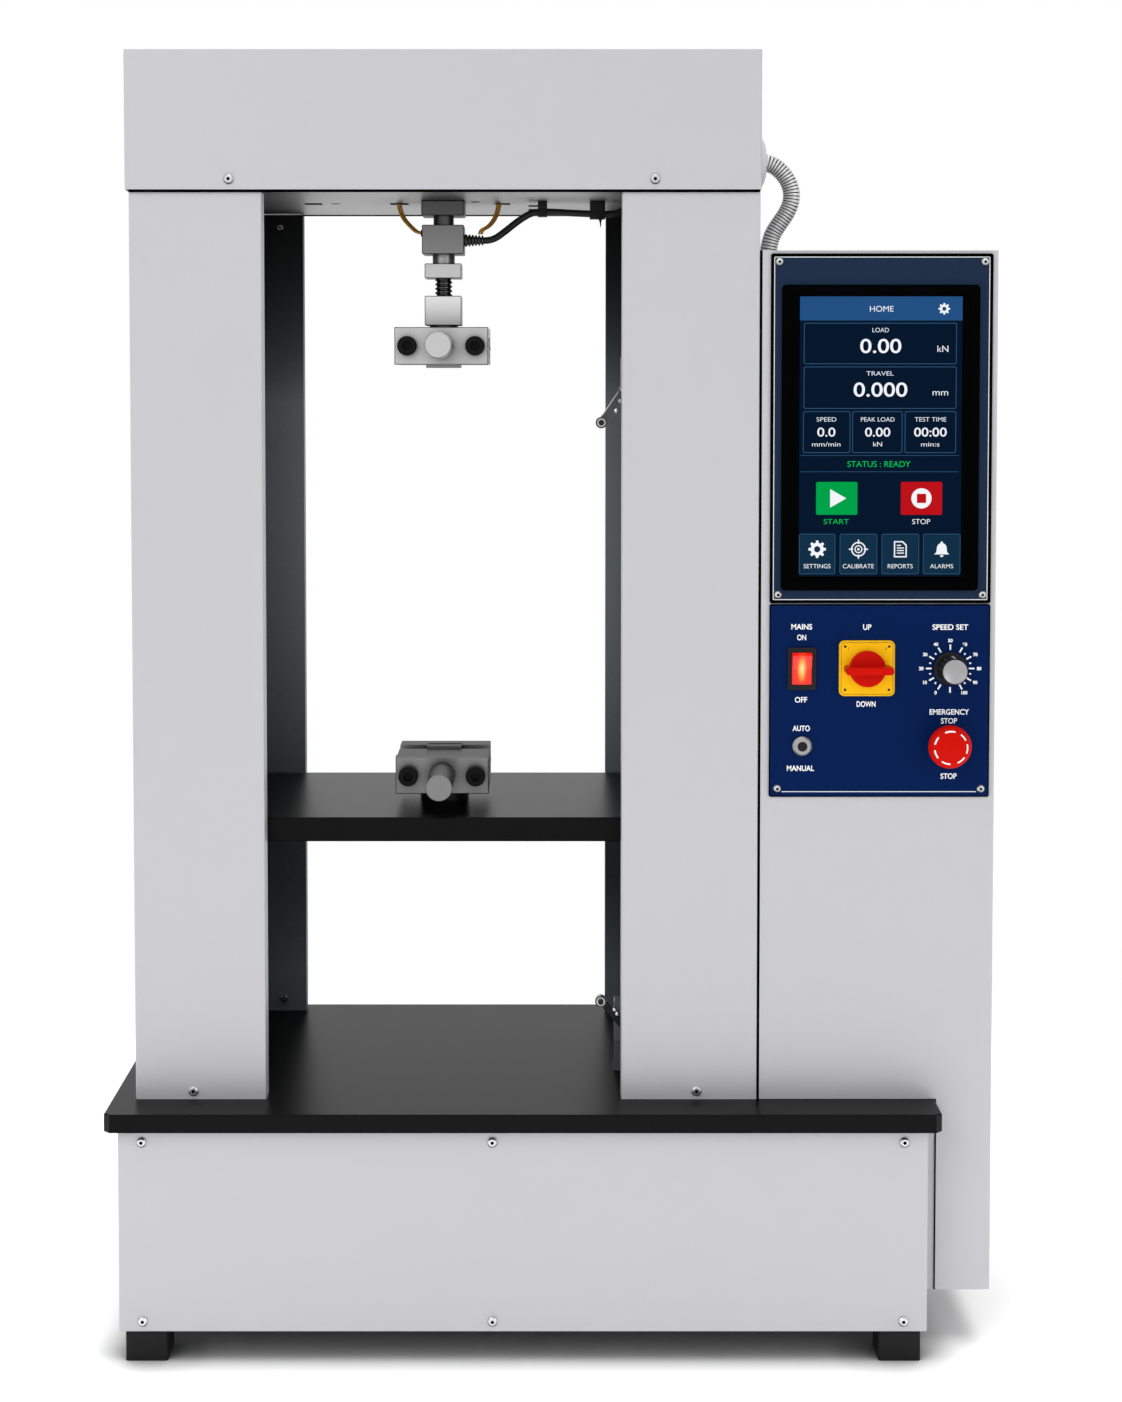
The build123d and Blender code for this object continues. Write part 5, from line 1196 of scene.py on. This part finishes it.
    def tiles(self):
        """Four tiles with a gear, a target, a sheet and a bell."""
        boxes = [(*span, 220.2, 257.9) for span in ((0.2, 34.8), (39.0, 74.8), (79.0, 114.8), (118.6, 154.2))]
        self.flat("tiles", [self.outline(*box, 1.8) for box in boxes], "tile", 1)
        self.show("tile_rims", self.frames(boxes, 0.6, (1.8, 1.3), 2), "line")
        middles = [(box[0] + box[1]) / 2 for box in boxes]
        gear, target, sheet, bell = (self.at(middle, 234.6) for middle in middles)
        self.gear("tile_gear", *gear, 8.2 * MM)
        self.target(*target)
        self.sheet(*sheet)
        self.bell(*bell)
        words = (("SETTINGS", 25.6), ("CALIBRATE", 29.6), ("REPORTS", 23.8), ("ALARMS", 22.0))
        self.text("tile_words", [(word, middle, 250.4, 3.9, width)
                                 for (word, width), middle in zip(words, middles)], "bright")

    def gear(self, name, x, z, radius):
        """A gear sign with eight teeth and an open middle."""
        teeth, outer, inner = 8, [], []
        for tooth in range(teeth):
            for share, reach in ((-0.30, 0.74), (-0.17, 1.0), (0.17, 1.0), (0.30, 0.74)):
                angle = TURN * (tooth + share) / teeth
                for points, far in ((outer, reach * radius), (inner, 0.36 * radius)):
                    points.append((x + far * math.cos(angle), z + far * math.sin(angle)))
        made = bmesh.new()
        band(made, outer, inner, *self.layer(2))
        self.show(name, made, "bright")

    def target(self, x, z):
        """A target sign: two rings, a dot and four ticks."""
        made = bmesh.new()
        back, front = self.layer(2)
        for outer, inner in ((6.9, 5.7), (3.7, 2.7)):
            band(made, circle(x, z, outer * MM, 40), circle(x, z, inner * MM, 40), back, front)
        prism(made, circle(x, z, 1.2 * MM, 16), back, front)
        near, far = 5.0 * MM, 8.9 * MM
        for side_x, side_z in ((1, 0), (-1, 0), (0, 1), (0, -1)):
            stroke(made, (x + near * side_x, z + near * side_z), (x + far * side_x, z + far * side_z),
                   1.2 * MM, back, front)
        self.show("tile_target", made, "bright")

    def sheet(self, x, z):
        """A sheet of paper with a folded corner and four lines."""
        made = bmesh.new()
        back, front = self.layer(2)

        def leaf(half_x, half_z, fold):
            """The outline of a sheet with its upper right corner cut off."""
            return [(x - half_x, z - half_z), (x + half_x, z - half_z), (x + half_x, z + half_z - fold),
                    (x + half_x - fold, z + half_z), (x - half_x, z + half_z)]

        band(made, leaf(6.0 * MM, 7.6 * MM, 3.6 * MM), leaf(4.8 * MM, 6.4 * MM, 3.1 * MM), back, front)
        for up, right in ((-3.6, 3.3), (-1.2, 3.3), (1.2, 3.3), (3.6, 0.6)):
            bar(made, x - 3.3 * MM, x + right * MM, z + (up - 0.5) * MM, z + (up + 0.5) * MM, back, front)
        self.show("tile_sheet", made, "bright")

    def bell(self, x, z):
        """A bell with its rim, knob and clapper."""
        made = bmesh.new()
        back, front = self.layer(2)
        dome = arc(x, z + 1.2 * MM, 4.5 * MM, 180, 0, 20)
        skirt = [(x + side * MM, z - down * MM)
                 for side, down in ((5.0, 2.6), (6.9, 4.8), (-6.9, 4.8), (-5.0, 2.6))]
        prism(made, dome + skirt, back, front)
        prism(made, circle(x, z + 6.2 * MM, 1.1 * MM, 16), back, front)
        prism(made, arc(x, z - 5.6 * MM, 1.7 * MM, 180, 360, 12), back, front)
        self.show("tile_bell", made, "bright")


class TESTER_OT_panel_print(bpy.types.Operator):
    """Print the panels' silver lines and plain words"""

    bl_idname = "tester.panel_print"
    bl_label = "Panel lines and words"

    def execute(self, context):
        sizes = context.scene.tester_sizes
        face = corners("control_panel")[0].y
        self.lines(sizes, face)
        self.words(sizes, face)
        return {"FINISHED"}

    def lines(self, sizes, face):
        """A silver line round the display panel and along the control panel's foot, and both dark edges."""
        display, control = corners("display_panel"), corners("control_panel")
        front, edge = face - sizes.ink_height, face - EDGE_PROUD
        inside = 3.0 * MM
        outer = inset(*display, inside, 1.2 * MM)
        made = bmesh.new()
        band(made, outer, inset(*display, inside + sizes.line, 0.6 * MM), face, front)
        level = control[0].z + 4.6 * MM
        bar(made, control[0].x + 12.0 * MM, control[1].x - 12.0 * MM, level, level + sizes.line, face, front)
        piece_from("panel_lines", made, "line_silver", smooth=False)
        made = bmesh.new()
        band(made, inset(*display, 0, PANEL_CORNER), outer, face, edge)
        band(made, inset(*control, 0, PANEL_CORNER), inset(*control, 1.2 * MM, 1.2 * MM), face, edge)
        piece_from("display_panel_edge", made, "screen_bezel", smooth=False)

    def words(self, sizes, face):
        """The controls' names: text, place across and down the panel, width in millimetres."""
        made = bmesh.new()
        rows = (("MAINS", 30.1, 21.1, 19.4), ("ON", 30.1, 31.1, 8.4), ("OFF", 29.8, 89.6, 11.4),
                ("UP", 91.2, 21.4, 7.6), ("DOWN", 90.6, 93.6, 17.6), ("SPEED SET", 168.8, 21.4, 33.4),
                ("EMERGENCY", 168.4, 101.0, 36.8), ("STOP", 168.2, 109.4, 15.0), ("STOP", 168.2, 161.4, 15.0),
                ("AUTO", 30.1, 116.4, 16.2), ("MANUAL", 29.6, 154.0, 25.4))
        for words, across, down, width in rows:
            words_mesh(made, words, *panel_point(across, down), sizes.letter, face - sizes.ink_height,
                       sizes.ink_height, width * MM, PANEL_WEIGHT)
        piece_from("panel_words", made, "panel_ink", smooth=False)


class TESTER_OT_dial(bpy.types.Operator):
    """Print the speed dial's ticks and plain numbers, and cap its knob"""

    bl_idname = "tester.dial"
    bl_label = "Speed dial"

    def execute(self, context):
        face = corners("control_panel")[0].y
        front = face - context.scene.tester_sizes.ink_height
        knob, near = centre("speed_knob"), corners("speed_knob")[0].y
        marks = bmesh.new()
        for step in range(24):
            if step in (1, 11, 13, 23):
                continue
            angle = math.radians(90 - 15 * step)
            inner, outer, width = (17.4, 22.6, 1.5) if step % 2 == 0 else (18.4, 20.2, 1.4)
            ends = [(knob.x + reach * MM * math.cos(angle), knob.z + reach * MM * math.sin(angle))
                    for reach in (inner, outer)]
            stroke(marks, *ends, width * MM, face, front)
        for number in range(11):
            angle = math.radians(240 - 30 * number)
            words_mesh(marks, str(10 * number), knob.x + 27.0 * MM * math.cos(angle),
                       knob.z + 26.2 * MM * math.sin(angle), 2.9 * MM, front, face - front, None, DIAL_WEIGHT)
        piece_from("dial_marks", marks, "panel_ink", smooth=False)
        self.cap(knob.x, near, knob.z)
        return {"FINISHED"}

    def cap(self, x, near, z):
        """The knob's turned metal cap with a fine rim, and its white pointer."""
        profile = ((0.9, 0.0), (0.9, 11.3), (0.1, 11.3), (-0.3, 11.0), (-0.3, 10.6), (-0.15, 10.3),
                   (-0.15, 0.0))
        turned("speed_knob_cap", profile, (x, near, z), FRONT, 64, "turned_cap", "speed_knob")
        pointer = bmesh.new()
        box_solid(pointer, (x - 0.55 * MM, near + 1.4 * MM, z + 12.55 * MM),
                  (x + 0.55 * MM, near + 17.0 * MM, z + 12.75 * MM))
        piece_from("speed_knob_pointer", pointer, "white_ink", "speed_knob", smooth=False)


class TESTER_OT_controls(bpy.types.Operator):
    """Mark the stop button and the cam switch, and rim the mains rocker"""

    bl_idname = "tester.controls"
    bl_label = "Control marks"

    def execute(self, context):
        self.stop_ring()
        self.cam_marks()
        self.rocker_rim()
        return {"FINISHED"}

    def stop_ring(self):
        """The broken white ring on the stop button, laid on its rounded side."""
        low, high = corners("estop_head")
        middle = centre("estop_head")
        radius, tall = (high.x - low.x) / 2, high.y - low.y
        mid, reach = self.side_arc((radius, tall / 2), (0.9 * radius, 0.76 * tall),
                                   (0.6 * radius, tall - 1.1 * MM))
        made = bmesh.new()
        for start, end in ((75, 112), (27, 54), (-20, 13), (-66, -36), (-124, -92), (-172, -142), (140, 168)):
            rows = []
            for away in STOP_RING:
                height = mid[1] + math.sqrt(reach ** 2 - (away - mid[0]) ** 2)
                front = low.y + tall - height - 0.14 * MM
                points = arc(middle.x, middle.z, away, start, end, 8)
                rows.append([[made.verts.new((x, depth, z)) for x, z in points]
                             for depth in (front, front + 0.5 * MM)])
            near, far = ([row[side] for row in rows] for side in (0, 1))
            quads(made, near + far[::-1] + near[:1], False)
            for last in (0, -1):
                quads(made, [[row[last] for row in side] for side in (near, far)], False)
        piece_from("stop_button_ring", made, "white_ink", "estop_head")

    def side_arc(self, first, second, third):
        """The middle and radius of the circle through three points."""
        (ax, ay), (bx, by), (cx, cy) = first, second, third
        turn = 2 * (ax * (by - cy) + bx * (cy - ay) + cx * (ay - by))
        squares = [px * px + py * py for px, py in (first, second, third)]
        mid_x = (squares[0] * (by - cy) + squares[1] * (cy - ay) + squares[2] * (ay - by)) / turn
        mid_y = (squares[0] * (cx - bx) + squares[1] * (ax - cx) + squares[2] * (bx - ax)) / turn
        return (mid_x, mid_y), math.hypot(ax - mid_x, ay - mid_y)

    def cam_marks(self):
        """Small plain numbers, a fine line and four screws on the yellow plate."""
        low, high = corners("cam_switch_body")
        middle, face = centre("cam_switch_body"), low.y
        marks = bmesh.new()
        for words, across in (("1", -17.5), ("0", 17.5)):
            words_mesh(marks, words, middle.x + across * MM, middle.z + 18.6 * MM, 2.8 * MM, face - 0.1 * MM,
                       0.1 * MM)
        band(marks, inset(low, high, 1.6 * MM, 3.6 * MM), inset(low, high, 2.1 * MM, 3.1 * MM), face,
             face - EDGE_PROUD)
        piece_from("cam_plate_print", marks, "faint_ink", smooth=False)
        screws = bmesh.new()
        for across, up in ((-20.5, -20.0), (20.5, -20.0), (-20.5, 20.5), (20.5, 20.5)):
            lathe(screws, ((0.0, 1.25), (-0.25, 1.05), (-0.25, 0.0)),
                  (middle.x + across * MM, face, middle.z + up * MM), FRONT, 20)
        piece_from("cam_plate_screws", screws, "black_steel")

    def rocker_rim(self):
        """The thin raised rim round the rocker's opening."""
        face = corners("mains_switch_body")[0].y
        lens = corners("mains_rocker")
        rim = bmesh.new()
        gap = 0.5 * MM
        band(rim, inset(*lens, -3 * gap, 1.4 * MM), inset(*lens, -gap, 0.8 * MM), face, face - gap)
        piece_from("rocker_rim", rim, "black_plastic", smooth=False)


class TESTER_OT_grips(bpy.types.Operator):
    """Add the small grub screws on the sides of the grips' rear blocks"""

    bl_idname = "tester.grips"
    bl_label = "Grip details"

    def execute(self, context):
        profile = ((0.0, 1.9), (0.25, 1.7), (0.25, 0.9), (-0.6, 0.8), (-0.6, 0.0))
        for grip, body in (("upper_grip_body", "frame"), ("lower_grip_body", "crosshead")):
            low, high = corners(grip)
            level = (low.z + high.z) / 2
            screws = bmesh.new()
            for x, way in ((low.x, -1), (high.x, 1)):
                for y in (high.y - 8 * MM, high.y - 20 * MM):
                    lathe(screws, profile, (x, y, level), (way, 0, 0), 20)
            piece_from(f"{grip}_side_screws", screws, "black_steel", body)
        return {"FINISHED"}


class TESTER_OT_limits(bpy.types.Operator):
    """Add the limit switches' roller rims, pins and lever screws"""

    bl_idname = "tester.limits"
    bl_label = "Limit switch details"

    def execute(self, context):
        for label in ("upper", "lower"):
            roller, lever = f"{label}_limit_roller", f"{label}_limit_lever"
            low, high = corners(roller)
            middle, radius = centre(roller), (high.x - low.x) / 2 / MM
            rim = ((0.0, 0.99 * radius), (-0.2, 0.97 * radius), (-0.2, 0.82 * radius), (0.0, 0.80 * radius))
            turned(f"{label}_roller_rim", rim, (middle.x, low.y, middle.z), FRONT, 32, "black_plastic",
                   roller)
            turned(f"{label}_roller_pin", ((0.0, 2.5), (-0.5, 2.5), (-0.9, 2.0), (-0.9, 0.0)),
                   (middle.x, corners(lever)[0].y, middle.z), FRONT, 24, "black_steel", lever)
            pivot = joint_place(lever)
            screw = ((0.0, 3.1), (-0.8, 3.1), (-1.3, 2.5), (-1.3, 1.3), (-0.5, 1.2), (-0.5, 0.0))
            turned(f"{label}_lever_screw", screw, pivot - Vector((0, 3.0 * MM, 0)), FRONT, 24, "plated_steel",
                   lever)
            self.lever_screws(label, middle.x, middle.z, pivot)
        return {"FINISHED"}

    def lever_screws(self, label, x, z, pivot):
        """Small bright screws on a lever's face, and a painted highlight along the upper lever's edge."""
        screws = bmesh.new()
        spots = {"upper": ((14.7, 11.2, 2.2), (18.4, 20.6, 2.0)),
                 "lower": ((13.5, -10.0, 1.9), (16.4, -14.2, 2.2))}[label]
        for across, up, radius in spots:
            lathe(screws, ((0.0, radius), (-1.1, radius), (-1.5, 0.7 * radius), (-1.5, 0.35 * radius),
                           (-0.7, 0.3 * radius), (-0.7, 0.0)),
                  (x + across * MM, LEVER_FACE, z + up * MM), FRONT, 24)
        # Painted highlight: a bright plated strip along one edge of the upper lever
        if label == "upper":
            start = Vector((x, z))
            ahead = Vector((pivot.x, pivot.z)) - start
            along = ahead.normalized()
            aside = Vector((-along.y, along.x)) * 3.1 * MM
            stroke(screws, start + along * 6.2 * MM + aside, start + ahead - along * 4 * MM + aside, 0.7 * MM,
                   LEVER_FACE, LEVER_FACE - 0.25 * MM)
        piece_from(f"{label}_lever_marks", screws, "plated_steel", f"{label}_limit_lever")


class TESTER_OT_gaps(bpy.types.Operator):
    """Paint shade into the gaps between covers, the slots of the top plate and the sockets of the cover screws"""

    bl_idname = "tester.gaps"
    bl_label = "Gaps and sockets"

    def execute(self, context):
        self.seams()
        self.slots()
        self.sockets()
        return {"FINISHED"}

    def seams(self):
        """Dark strips of painted shade below the head, above the rear panels, and beside the cabinet and the
        base.
        """
        plate, bed = corners("top_plate")[0], corners("base_plate")
        left, right = corners("left_column_cover"), corners("right_column_cover")[1].x
        face = left[0].y
        cabinet_low, cabinet_high = corners("cabinet_front")
        rear_low, rear_high = corners("rear_panels")
        beside = corners("base_shell")[1].x + 12.6 * MM
        seams = bmesh.new()
        for low, high in (
                ((left[0].x + 0.5 * MM, plate.y - 0.4 * MM, left[1].z + 0.1 * MM),
                 (right - 0.5 * MM, face - 0.2 * MM, corners("head_cover")[0].z - 0.05 * MM)),
                ((rear_low.x, rear_high.y - 3 * MM, rear_high.z - 0.1 * MM),
                 (rear_high.x, rear_high.y - 1 * MM, plate.z)),
                ((right - 0.3 * MM, face - 0.1 * MM, bed[1].z),
                 (cabinet_low.x + 0.3 * MM, face + 8 * MM, cabinet_high.z)),
                ((beside - 0.7 * MM, face - 0.1 * MM, cabinet_low.z),
                 (beside + 0.6 * MM, face + 1 * MM, bed[0].z - 0.1 * MM))):
            box_solid(seams, low, high)
        piece_from("cover_gaps", seams, "gap_black", smooth=False)

    def slots(self):
        """Painted shade in the cable slots at the underside of the top plate, as thin dark inlays: left, right,
        middle and half depth, in mm.
        """
        level = corners("top_plate")[0].z
        slots = bmesh.new()
        for x0, x1, y, half in ((-244.5, -227.5, 16.5, 9.0), (-159.5, -141.5, 16.5, 10.0),
                                (-55.5, -40.5, 16.5, 9.0), (-78.5, -70.5, -10.0, 4.0),
                                (-218.0, -210.0, 14.0, 2.5)):
            box_solid(slots, (x0 * MM, (y - half) * MM, level - 0.2 * MM),
                      (x1 * MM, (y + half) * MM, level + 0.1 * MM))
        piece_from("plate_slots", slots, "gap_black", smooth=False)

    def sockets(self):
        """A dark disc of painted shade in the socket of each front screw."""
        screws = bmesh.new()
        screws.from_mesh(frame["nodes"]["cover_screws"].data)
        discs = bmesh.new()
        for group in self.islands(screws):
            spans = [(min(vert.co[axis] for vert in group), max(vert.co[axis] for vert in group))
                     for axis in range(3)]
            width, tall = spans[0][1] - spans[0][0], spans[2][1] - spans[2][0]
            if abs(width - tall) > 0.5 * MM:
                continue
            wide = 0.165 * width / MM
            lathe(discs, ((0.0, 0.0), (0.0, wide), (-0.06, wide), (-0.06, 0.0)),
                  (sum(spans[0]) / 2, spans[1][0] + 0.03 * MM, sum(spans[2]) / 2), FRONT, 6)
        screws.free()
        piece_from("screw_sockets", discs, "gap_black", smooth=False)

    def islands(self, mesh_data):
        """The vertices of each separate part of a mesh."""
        found, seen = [], set()
        for seed in mesh_data.verts:
            if seed in seen:
                continue
            group, edge = {seed}, [seed]
            while edge:
                vert = edge.pop()
                near = {link.other_vert(vert) for link in vert.link_edges} - group
                group |= near
                edge += near
            seen |= group
            found.append(group)
        return found


class TESTER_OT_side_screws(bpy.types.Operator):
    """Add the round-headed screws on the covers' sides and back"""

    bl_idname = "tester.side_screws"
    bl_label = "Side screws"

    def execute(self, context):
        screws = bmesh.new()
        profile = ((0.0, 4.9), (0.9, 4.6), (2.0, 3.4), (2.4, 2.2), (2.4, 1.7), (1.2, 1.6), (1.2, 0.0))
        for x, y, z, way in self.places():
            lathe(screws, profile, (x, y, z), way, 24)
        piece_from("side_screws", screws, "plated_steel")
        return {"FINISHED"}

    def places(self):
        """(x, y, z, outward way) of each screw."""
        left, right, back = (-1, 0, 0), (1, 0, 0), (0, 1, 0)
        low, high = corners("left_column_cover")
        found = [(low.x, low.y + depth * MM, low.z + share * (high.z - low.z), left)
                 for share in (0.03, 0.35, 0.67, 0.97) for depth in (30, 270)]
        low, high = corners("right_column_cover")
        found += [(high.x, low.y + depth * MM, low.z + share * (high.z - low.z), right)
                  for depth in (262, 290) for share in (0.03, 0.5, 0.97)]
        low, high = corners("base_shell")
        found += [(x, high.y, z, back) for x in (low.x + 22 * MM, (low.x + high.x) / 2, high.x - 22 * MM)
                  for z in (low.z + 10 * MM, high.z - 12 * MM)]
        low, high = corners("head_cover")
        found += [(x, high.y, low.z + 12 * MM, back)
                  for x in (low.x + 40 * MM, (low.x + high.x) / 2, high.x - 40 * MM)]
        found += [(low.x, y, low.z + 12 * MM, left) for y in (low.y + 40 * MM, high.y - 40 * MM)]
        low, high = corners("cabinet_shell")
        found += [(x, high.y, z, back) for x in (low.x + 14 * MM, high.x - 14 * MM)
                  for z in (high.z - 14 * MM, (low.z + high.z) / 2)]
        return found


class TESTER_OT_stage(bpy.types.Operator):
    """Set up the pale floor, the soft light and the camera"""

    bl_idname = "tester.stage"
    bl_label = "Studio"

    def execute(self, context):
        studio = context.scene.tester_studio
        floor = self.floor()
        self.world(studio)
        self.lamp("key_lamp", studio.key, 2.4, (-1.9, -3.0, 2.7), (0, 0, 0.6))
        self.lamp("fill_lamp", studio.fill, 2.2, (2.6, -2.6, 1.7), (0, 0, 0.6))
        self.lamp("top_lamp", studio.top, 2.0, (0.0, 0.4, 3.2), (0, 0, 0.6))
        paper_lamp = self.lamp("paper_lamp", studio.paper, 3.0, (0.0, -0.5, 3.2), (0, -0.5, 0))
        only_floor = bpy.data.collections.new("paper_lamp_receivers")
        only_floor.objects.link(floor)
        paper_lamp.light_linking.receiver_collection = only_floor
        self.camera(context.scene, studio)
        context.scene.view_settings.view_transform = "Standard"
        return {"FINISHED"}

    def floor(self):
        """A wide pale floor that is near white to the eye, keeps the lamps' shadow and has painted contact shade
        near the machine.
        """
        mesh = bpy.data.meshes.new("floor")
        reach = 14.0
        mesh.from_pydata([(-reach, -reach, 0), (reach, -reach, 0), (reach, reach, 0), (-reach, reach, 0)], [],
                         [(0, 1, 2, 3)])
        floor = bpy.data.objects.new("floor", mesh)
        bpy.context.scene.collection.objects.link(floor)
        material, tree, shader = start_material("floor_paper")
        paper = tree.nodes.new("ShaderNodeRGB")
        paper.outputs[0].default_value = (0.90, 0.90, 0.90, 1)
        # Painted shade: the floor's colour darkens close to the machine
        shade_colour(tree, shader, paper.outputs[0], contact_shade(tree, 0.045, 1.35))
        set_inputs(shader, Roughness=0.9, Specular_IOR_Level=0.0)
        glow = tree.nodes.new("ShaderNodeEmission")
        output = next(item for item in tree.nodes if item.type == "OUTPUT_MATERIAL")
        far = range_node(tree, vector_node(tree, "LENGTH", place_node(tree)), 0.0, 1.0, 0.75, 1.35)
        self.mix(tree, math_node(tree, "MULTIPLY", self.seen(tree), far), shader.outputs["BSDF"],
                 glow.outputs["Emission"], output)
        mesh.materials.append(material)
        return floor

    def mix(self, tree, factor, first, second, output):
        """Two shaders mixed into a tree's output."""
        mix = tree.nodes.new("ShaderNodeMixShader")
        for socket, source in zip(mix.inputs, (factor, first, second)):
            tree.links.new(source, socket)
        tree.links.new(mix.outputs["Shader"], output.inputs["Surface"])

    def seen(self, tree):
        """1 for rays that show the backdrop: camera, glossy and transmission rays."""
        path = tree.nodes.new("ShaderNodeLightPath").outputs
        total = math_node(tree, "ADD", path["Is Camera Ray"], path["Is Glossy Ray"])
        return math_node(tree, "MINIMUM", math_node(tree, "ADD", total, path["Is Transmission Ray"]), 1.0)

    def world(self, studio):
        """A white surround that lights the object at a plain level."""
        world = bpy.data.worlds.new("studio_world")
        bpy.context.scene.world = world
        world.use_nodes = True
        tree = world.node_tree
        tree.nodes.clear()
        dim, shown = (tree.nodes.new("ShaderNodeBackground") for _ in range(2))
        for surround in (dim, shown):
            set_inputs(surround, Color=(1, 1, 1, 1))
        set_inputs(dim, Strength=studio.ambient)
        self.mix(tree, self.seen(tree), dim.outputs[0], shown.outputs[0],
                 tree.nodes.new("ShaderNodeOutputWorld"))

    def lamp(self, name, power, size, place, aim):
        """A soft square lamp turned towards a point."""
        data = bpy.data.lights.new(name, "AREA")
        data.energy = power
        data.size = size
        lamp = bpy.data.objects.new(name, data)
        lamp.location = place
        lamp.rotation_euler = (Vector(aim) - Vector(place)).to_track_quat("-Z", "Y").to_euler()
        bpy.context.scene.collection.objects.link(lamp)
        return lamp

    def camera(self, scene, studio):
        """The camera in front of the machine, looking slightly down."""
        data = bpy.data.cameras.new("front_camera")
        data.lens = studio.lens
        data.sensor_width = 36.0
        data.sensor_fit = "AUTO"
        data.shift_x = studio.shift_x
        data.shift_y = studio.shift_y
        data.clip_end = 60.0
        camera = bpy.data.objects.new("front_camera", data)
        camera.location = studio.place
        camera.rotation_euler = (math.pi / 2 - studio.pitch, studio.roll, 0.0)
        scene.collection.objects.link(camera)
        scene.camera = camera


STEPS = (
    TESTER_OT_finishes, TESTER_OT_conduit, TESTER_OT_cables, TESTER_OT_fittings, TESTER_OT_threads,
    TESTER_OT_screen, TESTER_OT_panel_print, TESTER_OT_dial, TESTER_OT_controls, TESTER_OT_grips,
    TESTER_OT_limits, TESTER_OT_gaps, TESTER_OT_side_screws, TESTER_OT_stage,
)


class TESTER_PT_panel(bpy.types.Panel):
    """The machine's steps in the sidebar"""

    bl_label = "Bench Testing Machine"
    bl_space_type = "VIEW_3D"
    bl_region_type = "UI"
    bl_category = "Tester"

    def draw(self, context):
        for step in STEPS:
            self.layout.operator(step.bl_idname)


SETTINGS = {"tester_colours": TesterColours, "tester_screen": TesterScreen, "tester_sizes": TesterSizes,
            "tester_studio": TesterStudio}


def register():
    """Add the classes and their settings."""
    for kind in (*SETTINGS.values(), *STEPS, TESTER_PT_panel):
        bpy.utils.register_class(kind)
    for name, kind in SETTINGS.items():
        setattr(bpy.types.Scene, name, bpy.props.PointerProperty(type=kind))


def unregister():
    """Take the classes and their settings away."""
    for name in SETTINGS:
        delattr(bpy.types.Scene, name)
    for kind in reversed((*SETTINGS.values(), *STEPS, TESTER_PT_panel)):
        bpy.utils.unregister_class(kind)


def main():
    """Dress the machine step by step."""
    register()
    for step in STEPS:
        group, name = step.bl_idname.split(".")
        getattr(getattr(bpy.ops, group), name)()


if __name__ == "__main__":
    main()
